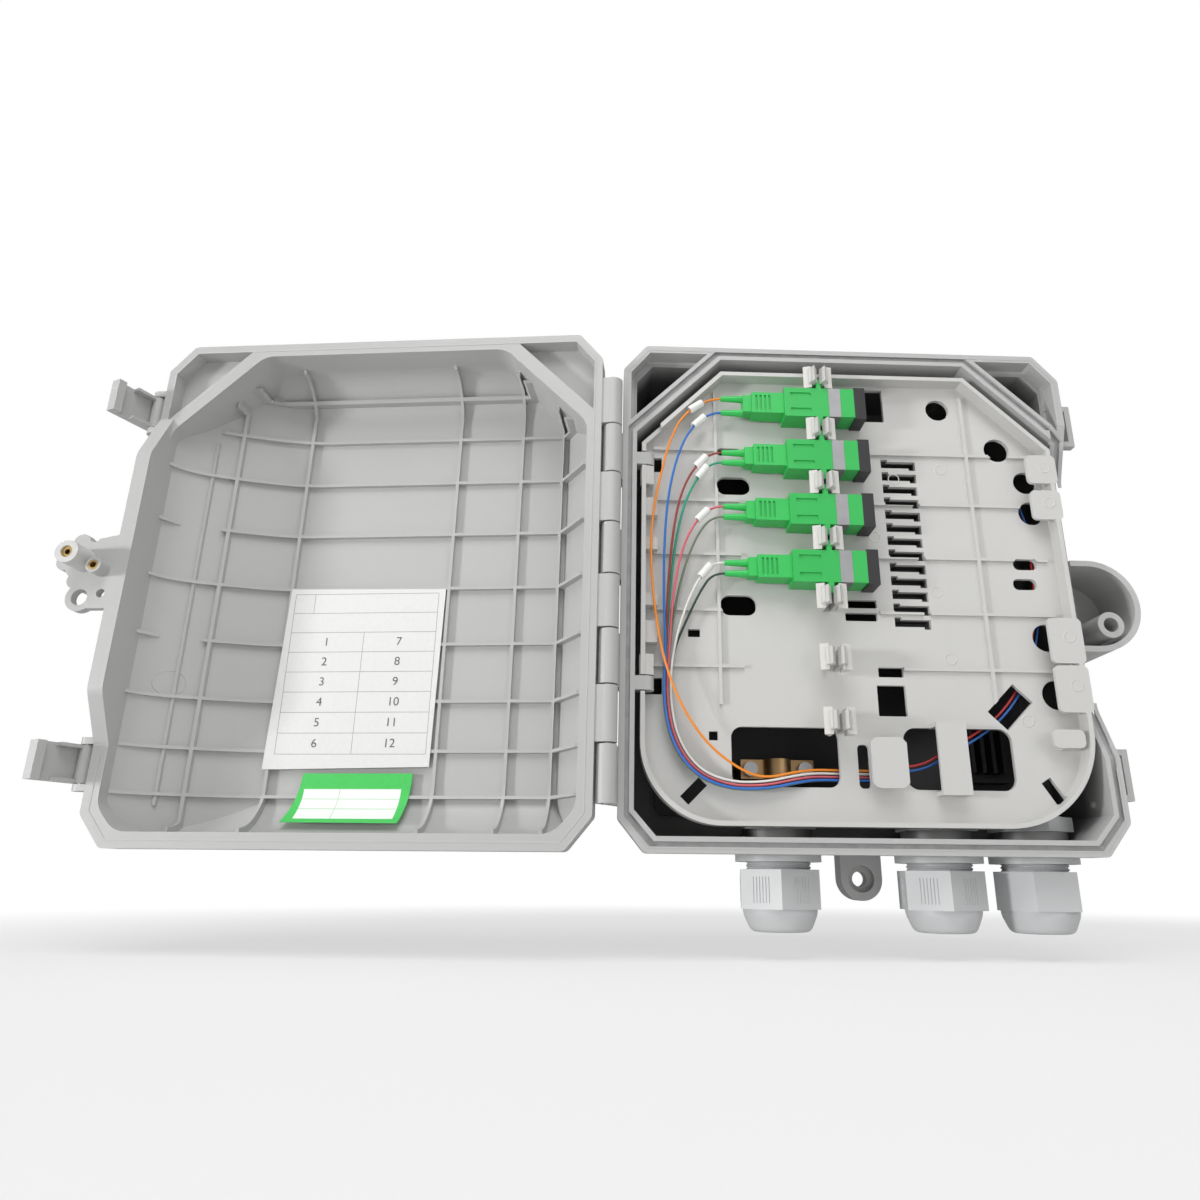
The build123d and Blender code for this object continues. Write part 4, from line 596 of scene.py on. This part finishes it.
class FIBREBOX_PG_look(bpy.types.PropertyGroup):
    """Colours of the box's finishes."""

    box_colour: bpy.props.FloatVectorProperty(
        name="Box", description="Colour of the base, lid and latches",
        subtype="COLOR", default=(0.47, 0.47, 0.465),
    )
    tray_colour: bpy.props.FloatVectorProperty(
        name="Tray", description="Colour of the swing tray",
        subtype="COLOR", default=(0.57, 0.565, 0.55),
    )
    gland_colour: bpy.props.FloatVectorProperty(
        name="Glands", description="Colour of the cable glands",
        subtype="COLOR", default=(0.56, 0.57, 0.575),
    )
    knob_colour: bpy.props.FloatVectorProperty(
        name="Knob", description="Colour of the lock knob",
        subtype="COLOR", default=(0.60, 0.60, 0.59),
    )
    adapter_colour: bpy.props.FloatVectorProperty(
        name="Adapters", description="Colour of the adapters",
        subtype="COLOR", default=(0.03, 0.46, 0.09),
    )


class FIBREBOX_PG_sizes(bpy.types.PropertyGroup):
    """Sizes of the fibres, the print and the fine mouldings."""

    fibre_diameter: bpy.props.FloatProperty(
        name="Fibre", description="Diameter of one fibre",
        subtype="DISTANCE", unit="LENGTH", default=FIBRE_D * MM,
    )
    number_height: bpy.props.FloatProperty(
        name="Numbers", description="Height of the port numbers",
        subtype="DISTANCE", unit="LENGTH", default=NUMBER_H * MM,
    )
    thread_pitch: bpy.props.FloatProperty(
        name="Thread", description="Pitch of the gland's thread",
        subtype="DISTANCE", unit="LENGTH", default=THREAD_PITCH * MM,
    )


class FIBREBOX_OT_stage(bpy.types.Operator):
    """Sets up the floor, the light and the photograph's camera"""

    bl_idname = "fibrebox.stage"
    bl_label = "Stage"

    def execute(self, context):
        scene = context.scene
        pitch, yaw, roll = (math.radians(a) for a in (CAMERA_PITCH, CAMERA_YAW, CAMERA_ROLL))
        turn = Matrix.Rotation(yaw, 3, "Z") @ Matrix.Rotation(pitch, 3, "X")
        right, forward, up = turn.col[0].copy(), turn.col[1].copy(), turn.col[2].copy()
        level_right = right * math.cos(roll) + up * math.sin(roll)
        level_up = up * math.cos(roll) - right * math.sin(roll)
        data = bpy.data.cameras.new("photograph_camera")
        data.sensor_width = SENSOR
        data.lens = FOCAL / PICTURE * SENSOR
        data.shift_x = -(PRINCIPAL[0] - PICTURE / 2) / PICTURE
        data.shift_y = (PRINCIPAL[1] - PICTURE / 2) / PICTURE
        data.clip_start = NEAREST
        camera = bpy.data.objects.new("photograph_camera", data)
        basis = Matrix((level_right, level_up, -forward)).transposed()
        camera.matrix_world = Matrix.Translation([c * MM for c in CAMERA_AT]) @ basis.to_4x4()
        scene.collection.objects.link(camera)
        scene.camera = camera

        for lamp in LAMPS:
            self.light(*lamp)
        self.floor()
        self.world(scene)
        scene.view_settings.view_transform = "Standard"
        return {"FINISHED"}

    def light(self, name, at, target, size, power):
        """One square lamp, turned towards its target."""
        data = bpy.data.lights.new(name, "AREA")
        data.shape = "SQUARE"
        data.size = size
        data.energy = power
        lamp = bpy.data.objects.new(name, data)
        aim = (Vector(target) - Vector(at)).to_track_quat("-Z", "Y")
        lamp.matrix_world = Matrix.Translation(at) @ aim.to_matrix().to_4x4()
        bpy.context.scene.collection.objects.link(lamp)

    def floor(self):
        """Pale floor just under the box.

        Near the box the paper takes a shadow, and farther off it goes over to plain white.
        """
        steps = np.linspace(-FLOOR_HALF, FLOOR_HALF, 9)
        x, y = np.meshgrid(steps, steps, indexing="ij")
        mesh = grid_mesh("studio_floor", np.stack((x, y, np.full_like(x, FLOOR_Z)), axis=-1))
        piece = bpy.data.objects.new("studio_floor", mesh)
        bpy.context.scene.collection.objects.link(piece)
        paint = Paint("floor_paper")
        paper = paint.noise(3.0)
        sheet = paint.mix(paper, (0.90, 0.90, 0.90, 1.0), (0.92, 0.92, 0.92, 1.0))
        paint.set(base_color=sheet, roughness=0.9)
        inputs = {0: paint.place(), 1: (1.0, 1.0, 0.0)}
        flat = paint.add("ShaderNodeVectorMath", {"operation": "MULTIPLY"}, inputs)
        away = paint.add("ShaderNodeVectorMath", {"operation": "LENGTH"}, {0: flat}, "Value")
        span = {
            "Value": away, "From Min": FLOOR_NEAR * MM, "From Max": FLOOR_FAR * MM,
            "To Min": FLOOR_PAPER,
        }
        white = paint.add("ShaderNodeMapRange", {"interpolation_type": "SMOOTHSTEP"}, span)
        seen = paint.add("ShaderNodeLightPath", output="Is Camera Ray")
        glow = paint.add("ShaderNodeEmission")
        inputs = {0: white * seen, 1: paint.surface(), 2: glow}
        mixed = paint.add("ShaderNodeMixShader", None, inputs)
        paint.tree.links.new(mixed.socket, paint.tree.nodes["Material Output"].inputs["Surface"])
        mesh.materials.append(paint.material)

    def world(self, scene):
        """White to the camera, and a weaker white as the light that falls on the box."""
        world = bpy.data.worlds.new("studio_white")
        scene.world = world
        world.use_nodes = True
        tree = world.node_tree
        seen = tree.nodes.new("ShaderNodeLightPath")
        backdrop = tree.nodes["Background"]
        backdrop.inputs["Color"].default_value = WHITE
        backdrop.inputs["Strength"].default_value = 1.0
        light = tree.nodes.new("ShaderNodeBackground")
        light.inputs["Color"].default_value = WHITE
        light.inputs["Strength"].default_value = WORLD_LIGHT
        either = tree.nodes.new("ShaderNodeMath")
        either.operation = "MAXIMUM"
        tree.links.new(seen.outputs["Is Camera Ray"], either.inputs[0])
        tree.links.new(seen.outputs["Is Transmission Ray"], either.inputs[1])
        mix = tree.nodes.new("ShaderNodeMixShader")
        tree.links.new(either.outputs[0], mix.inputs[0])
        tree.links.new(light.outputs[0], mix.inputs[1])
        tree.links.new(backdrop.outputs[0], mix.inputs[2])
        tree.links.new(mix.outputs[0], tree.nodes["World Output"].inputs["Surface"])


class FIBREBOX_OT_finishes(bpy.types.Operator):
    """Gives every solid of the box its finish"""

    bl_idname = "fibrebox.finishes"
    bl_label = "Finishes"

    def execute(self, context):
        look = context.scene.fibrebox_look
        made = {}
        for node, piece in NODES.items():
            finish = next((f for prefix, f in NODE_FINISH if node.startswith(prefix)), None)
            if finish is None:
                continue
            if finish not in made:
                made[finish] = FINISHES[finish](look)
            piece.data.materials.clear()
            piece.data.materials.append(made[finish])
        return {"FINISHED"}


def skin(node):
    """The surface of a node, to find where a piece touches it."""
    mesh = NODES[node].data
    spots = np.empty(len(mesh.vertices) * 3)
    mesh.vertices.foreach_get("co", spots)
    faces = [tuple(face.vertices) for face in mesh.polygons]
    return BVHTree.FromPolygons(spots.reshape(-1, 3).tolist(), faces)


def touch(surface, start, towards):
    """Where a straight line from start meets a surface, in millimetres."""
    origin = Vector((np.asarray(start) * MM).tolist())
    hit = surface.ray_cast(origin, Vector(np.asarray(towards).tolist()))[0]
    return np.array(hit) / MM


def prism(name, outline, low, high):
    """Mesh of a flat outline carried from the low offset to the high one."""
    ring = np.asarray(outline)
    return grid_mesh(name, np.stack((ring + low, ring + high)), close_v=True, caps=True)


def finish_of(name):
    """A finish that the finishes operator has made."""
    return bpy.data.materials[name]


def lane(points, side):
    """Points of the bundle moved sideways, so that its fibres run beside each other."""
    moved = []
    for k, (x, z, rise) in enumerate(points):
        before, after = points[max(k - 1, 0)], points[min(k + 1, len(points) - 1)]
        run_x, run_z = after[0] - before[0], after[1] - before[1]
        length = math.hypot(run_x, run_z)
        moved.append((x - side * run_z / length, z + side * run_x / length, rise))
    return moved


def fibre_route(name):
    """Control points of one fibre: from its boot along its lead and the shared bundle.

    Fibre 1a bows out on its own way, and joins the bundle at a later point.
    """
    row, boot = name
    side, rise = LANES[name]
    spread = BOOT_SPREAD[row] if boot == "a" else -BOOT_SPREAD[row]
    z = ROW_TOP - ROW_PITCH * (int(row) - 1) + spread
    shared = BUNDLE[JOINS_AT:] if name == "1a" else BUNDLE
    route = [(BOOT_TIP, z, BOOT_RISE), (BOOT_TIP - BOOT_RUN, z, BOOT_RISE)] + list(LEADS[name])
    return route + [(x, z, rise + drop) for x, z, drop in lane(shared, side)]


class FIBREBOX_OT_fibres(bpy.types.Operator):
    """Lays each coloured fibre from its plug round the tray"""

    bl_idname = "fibrebox.fibres"
    bl_label = "Fibres"

    def execute(self, context):
        sizes = context.scene.fibrebox_sizes
        routes = {f"fibre_{name}": fibre_route(name) for name in LEADS}
        for name, route in FEEDS.items():
            routes[f"feed_fibre_{name}"] = [(x, z, FEED_RISE) for x, z in route]
        for node, route in routes.items():
            points = [(x * MM, (TRAY_FLOOR_Y - rise) * MM, z * MM) for x, z, rise in route]
            self.lay(node, points, sizes.fibre_diameter)
        return {"FINISHED"}

    def lay(self, node, points, diameter):
        """A smooth line through its control points, with a round section."""
        curve = bpy.data.curves.new(f"{node}_cord", "CURVE")
        curve.dimensions = "3D"
        spline = curve.splines.new("NURBS")
        spline.points.add(len(points) - 1)
        spots = np.ones((len(points), 4))
        spots[:, :3] = points
        spline.points.foreach_set("co", spots.ravel())
        spline.order_u = 3
        spline.use_endpoint_u = True
        spline.resolution_u = 8
        piece = bpy.data.objects.new(f"{node}_cord", curve)
        bpy.context.scene.collection.objects.link(piece)
        line = bpy.data.meshes.new_from_object(piece)
        path = np.empty(len(line.vertices) * 3)
        line.vertices.foreach_get("co", path)
        bpy.data.meshes.remove(line)
        curve.bevel_depth = diameter / 2
        curve.bevel_resolution = 2
        curve.use_fill_caps = True
        curve.materials.append(glossy(f"{node}_jacket", FIBRE_COLOURS[node], 0.34, 0.1))
        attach(piece, "tray")
        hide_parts(node)


class FIBREBOX_OT_print(bpy.types.Operator):
    """Prints the port numbers in the table's cells"""

    bl_idname = "fibrebox.print"
    bl_label = "Port numbers"

    def execute(self, context):
        sizes = context.scene.fibrebox_sizes
        ink = Paint("number_ink")
        black = ink.mix(ink.noise(INK), (0.05, 0.05, 0.06, 1.0), (0.16, 0.16, 0.17, 1.0))
        ink.set(base_color=black, roughness=0.6)
        basis = Matrix((-LID_RIGHT, (0.0, 0.0, 1.0), -LID_OUT)).transposed()
        meshes = []
        ports = TABLE_ROWS - TABLE_HEAD
        columns = ((TABLE_X[1] + TABLE_MIDDLE) / 2, (TABLE_X[0] + TABLE_MIDDLE) / 2)
        for row in range(ports):
            for column, x in enumerate(columns):
                z = TABLE_TOP - (TABLE_HEAD + row + 0.5) * TABLE_ROW
                text = bpy.data.curves.new("number", "FONT")
                text.body = str(row + 1 + column * ports)
                text.size = sizes.number_height
                text.align_x = "CENTER"
                text.align_y = "CENTER"
                holder = bpy.data.objects.new("number", text)
                context.scene.collection.objects.link(holder)
                mesh = bpy.data.meshes.new_from_object(holder)
                bpy.data.objects.remove(holder)
                at = lid_point(x, LABEL_OUT - PRINT_OVER, z) * MM
                mesh.transform(Matrix.Translation(at) @ basis.to_4x4())
                meshes.append(mesh)
        mesh = joined("port_numbers", meshes)
        place("port_numbers", mesh, "lid", ink.material, False)
        return {"FINISHED"}


def thread(x, y, top, low, inner, depth, pitch):
    """Screw thread: a helix whose radius follows a triangle wave along its axis.

    The phase is the height over the pitch plus the angle over a full turn. The radius is the
    inner radius plus the depth times the wave of that phase, steepened and cut flat at its ends.
    """
    around = circle(ROUND)
    up = np.linspace(low, top, 1 + int((top - low) / pitch * THREAD_STEPS))
    angle, height = np.meshgrid(around, up, indexing="ij")
    phase = (height - low) / pitch + angle / (2.0 * math.pi)
    crest = 1.0 - np.abs(2.0 * (phase % 1.0) - 1.0)
    radius = inner + depth * np.clip(CREST_SLOPE * crest - CREST_DROP, 0.0, 1.0)
    return np.stack((x + radius * np.cos(angle), y + radius * np.sin(angle), height), axis=-1)


class FIBREBOX_OT_glands(bpy.types.Operator):
    """Cuts the visible thread on each gland's neck, and the flutes on the nuts of two glands"""

    bl_idname = "fibrebox.glands"
    bl_label = "Gland detail"

    def execute(self, context):
        pitch = context.scene.fibrebox_sizes.thread_pitch / MM
        grey = finish_of("gland_plastic")
        for number, x in enumerate(GLAND_XS, start=1):
            rings = thread(x, GLAND_Y, NECK[0], NECK[1], THREAD_R, THREAD_DEPTH, pitch)
            mesh = grid_mesh(f"neck_thread_{number}", rings, close_u=True)
            place(f"neck_thread_{number}", mesh, "base", grey)
            if number in FLUTED:
                ridges = fluted(skin(f"gland_nut_{number}"), x)
                mesh = joined(f"nut_flutes_{number}", ridges)
                place(f"nut_flutes_{number}", mesh, f"nut_{number}", grey, False)
        return {"FINISHED"}


def fluted(surface, x):
    """Meshes of the fine upright ridges on a nut, found on its surface every few degrees.

    A ridge stands only where the nut is near its middle line: the flats, and not the corners.
    """
    ridges = []
    for angle in np.radians(np.arange(0.0, 360.0, FLUTE_STEP)):
        out = np.array((math.cos(angle), math.sin(angle), 0.0))
        start = np.array((x, GLAND_Y, sum(FLUTE_Z) / 2)) + out * 2 * NUT_AF
        spot = touch(surface, start, -out) - (x, GLAND_Y, 0.0)
        reach = float(np.hypot(spot[0], spot[1]))
        if reach > FLAT_REACH:
            continue
        side = np.array((-out[1], out[0], 0.0)) * FLUTE_HALF
        foot = np.array((x, GLAND_Y, 0.0)) + out * (reach - FLUTE_OVER)
        outline = (foot - side, foot + out * 2 * FLUTE_OVER, foot + side)
        ridges.append(prism("ridge", outline, (0.0, 0.0, FLUTE_Z[1]), (0.0, 0.0, FLUTE_Z[0])))
    return ridges


def rib_end(surface, profile, z):
    """Mesh of one rib's end, which follows the lid's wall and is as tall as its profile says."""
    half = np.array((0.0, 0.0, RIB_T / 2))
    rows = []
    for x, tall in profile:
        foot = touch(surface, lid_point(x, 0.0, z + RIB_PAST), LID_OUT) - (0.0, 0.0, RIB_PAST)
        low, high = foot + LID_OUT * UPRIGHT_H, foot - LID_OUT * tall
        rows.append((low - half, high - half, high + half, low + half))
    return grid_mesh("end", np.array(rows), close_v=True, caps=True)


def upright(surface):
    """Mesh of the low rib that runs up the lid beside its free wall."""
    across, rise = LID_RIGHT * RIB_T / 2, -LID_OUT * UPRIGHT_H
    rows = []
    for z in UPRIGHT_ZS:
        foot = touch(surface, lid_point(UPRIGHT_X, 0.0, z), LID_OUT)
        left, right = foot - across, foot + across
        rows.append((left - rise, left + rise, right + rise, right - rise))
    return grid_mesh("lid_upright_rib", np.array(rows), close_v=True, caps=True)


def ring_section(radius):
    """Section of a raised ring: distance from its middle and height over the surface."""
    return (
        (radius, -MARK_H), (radius, MARK_H), (radius + MARK_W, MARK_H), (radius + MARK_W, -MARK_H),
    )


def lid_mark(surface):
    """Mesh of the round mark on the lid, laid on its surface."""
    (x, z), radius = LID_MARK
    rings = []
    for reach, over in ring_section(radius):
        ring = []
        for angle in circle(ROUND):
            start = lid_point(x + reach * math.cos(angle), 0.0, z + reach * math.sin(angle))
            ring.append(touch(surface, start, LID_OUT) - LID_OUT * over)
        rings.append(ring)
    return grid_mesh("lid_mould_mark", np.array(rings), close_u=True, close_v=True)


class FIBREBOX_OT_lid_mouldings(bpy.types.Operator):
    """Carries the ribs up the lid's free wall, and adds its upright rib and mould mark"""

    bl_idname = "fibrebox.lid_mouldings"
    bl_label = "Lid mouldings"

    def execute(self, context):
        grey = finish_of("box_plastic")
        surface = skin("lid_shell")
        ends = [rib_end(surface, profile, z) for profile, heights in RIB_ENDS for z in heights]
        place("lid_rib_ends", joined("lid_rib_ends", ends), "lid", grey, False)
        place("lid_upright_rib", upright(surface), "lid", grey, False)
        place("lid_mould_mark", lid_mark(surface), "lid", grey)
        return {"FINISHED"}


def tray_mark(x, z, rise):
    """Mesh of one round mark on the tray: each ring is a circle about its middle."""
    reach, over = np.array(ring_section(MARK_R)).T[:, :, None]
    around = circle(MARK_ROUND)
    y = np.broadcast_to(TRAY_FLOOR_Y - rise - over, (len(over), MARK_ROUND))
    rings = np.stack((x + reach * np.cos(around), y, z + reach * np.sin(around)), axis=-1)
    return grid_mesh("mark", rings, close_u=True, close_v=True)


class FIBREBOX_OT_tray_mouldings(bpy.types.Operator):
    """Adds the barbs of the tray's clips and the round marks of the mould's pins"""

    bl_idname = "fibrebox.tray_mouldings"
    bl_label = "Tray mouldings"

    def execute(self, context):
        grey = finish_of("tray_plastic")
        barbs = []
        for k in range(CLIP_COUNT):
            z = CLIP_TOP - k * ROW_PITCH
            for side in (-1, 1):
                for profile, half in ((CLIP_BARB, CLIP_HALF), (CLIP_TIP, TIP_HALF)):
                    outline = [(CLIP_MIDDLE + side * x, y, 0.0) for x, y in profile]
                    low, high = (0.0, 0.0, z - half), (0.0, 0.0, z + half)
                    barbs.append(prism("barb", outline, low, high))
        place("clip_barbs", joined("clip_barbs", barbs), "tray", grey, False)
        marks = [tray_mark(*at) for at in TRAY_MARKS]
        place("tray_mould_marks", joined("tray_mould_marks", marks), "tray", grey)
        return {"FINISHED"}


def rim_line(inset):
    """Corners of the rim moved inwards, from the upper end of its step round to the lower end."""
    half_x, half_z = RIM_HALF[0] - inset, RIM_HALF[1] - inset
    run_x, run_z = RIM_CORNER
    gain = inset * (math.hypot(run_x, run_z) - run_x - run_z)
    short_x, short_z = half_x - run_x - gain / run_z, half_z - run_z - gain / run_x
    return np.array((
        (half_x, RIM_STEP[0]), (half_x, short_z), (short_x, half_z), (-short_x, half_z),
        (-half_x, short_z), (-half_x, -short_z), (-short_x, -half_z), (short_x, -half_z),
        (half_x, -short_z), (half_x, RIM_STEP[1]),
    ))


def bead(name, inset, at):
    """Mesh of a bead of square section along the rim: at gives the place of x, height and z."""
    rows = []
    for far, near in zip(rim_line(inset), rim_line(inset + BEAD_W)):
        section = ((far, BEAD_H), (far, -BEAD_H), (near, -BEAD_H), (near, BEAD_H))
        rows.append([at(x, high, z) for (x, z), high in section])
    return grid_mesh(name, np.array(rows), close_v=True, caps=True)


class FIBREBOX_OT_rims(bpy.types.Operator):
    """Runs a fine bead round each rim, up to the step in it"""

    bl_idname = "fibrebox.rims"
    bl_label = "Rim beads"

    def execute(self, context):
        mesh = bead("base_rim_bead", BASE_BEAD_IN, lambda x, high, z: (x, RIM_Y + high, z))
        place("base_rim_bead", mesh, "base", finish_of("tub_plastic_painted_shade"), False)
        mesh = bead("lid_rim_bead", LID_BEAD_IN, lambda x, high, z: lid_point(x, SEAM + high, z))
        place("lid_rim_bead", mesh, "lid", finish_of("box_plastic"), False)
        return {"FINISHED"}


class FIBREBOX_PT_panel(bpy.types.Panel):
    """Lists the steps that dress the box"""

    bl_idname = "FIBREBOX_PT_panel"
    bl_label = "Fibre box"
    bl_space_type = "VIEW_3D"
    bl_region_type = "UI"
    bl_category = "Fibre Box"

    def draw(self, context):
        for group in (context.scene.fibrebox_look, context.scene.fibrebox_sizes):
            for key in group.bl_rna.properties.keys():
                if key not in {"rna_type", "name"}:
                    self.layout.prop(group, key)
        for operator in STEPS:
            self.layout.operator(operator.bl_idname)


STEPS = (
    FIBREBOX_OT_stage,
    FIBREBOX_OT_finishes,
    FIBREBOX_OT_fibres,
    FIBREBOX_OT_print,
    FIBREBOX_OT_glands,
    FIBREBOX_OT_lid_mouldings,
    FIBREBOX_OT_tray_mouldings,
    FIBREBOX_OT_rims,
)
CLASSES = (FIBREBOX_PG_look, FIBREBOX_PG_sizes) + STEPS + (FIBREBOX_PT_panel,)


def register():
    for each in CLASSES:
        bpy.utils.register_class(each)
    bpy.types.Scene.fibrebox_look = bpy.props.PointerProperty(type=FIBREBOX_PG_look)
    bpy.types.Scene.fibrebox_sizes = bpy.props.PointerProperty(type=FIBREBOX_PG_sizes)


def unregister():
    del bpy.types.Scene.fibrebox_sizes
    del bpy.types.Scene.fibrebox_look
    for each in reversed(CLASSES):
        bpy.utils.unregister_class(each)


def main():
    """Dresses the box: the steps run in order."""
    register()
    bpy.ops.fibrebox.stage()
    bpy.ops.fibrebox.finishes()
    bpy.ops.fibrebox.fibres()
    bpy.ops.fibrebox.print()
    bpy.ops.fibrebox.glands()
    bpy.ops.fibrebox.lid_mouldings()
    bpy.ops.fibrebox.tray_mouldings()
    bpy.ops.fibrebox.rims()


if __name__ == "__main__":
    main()
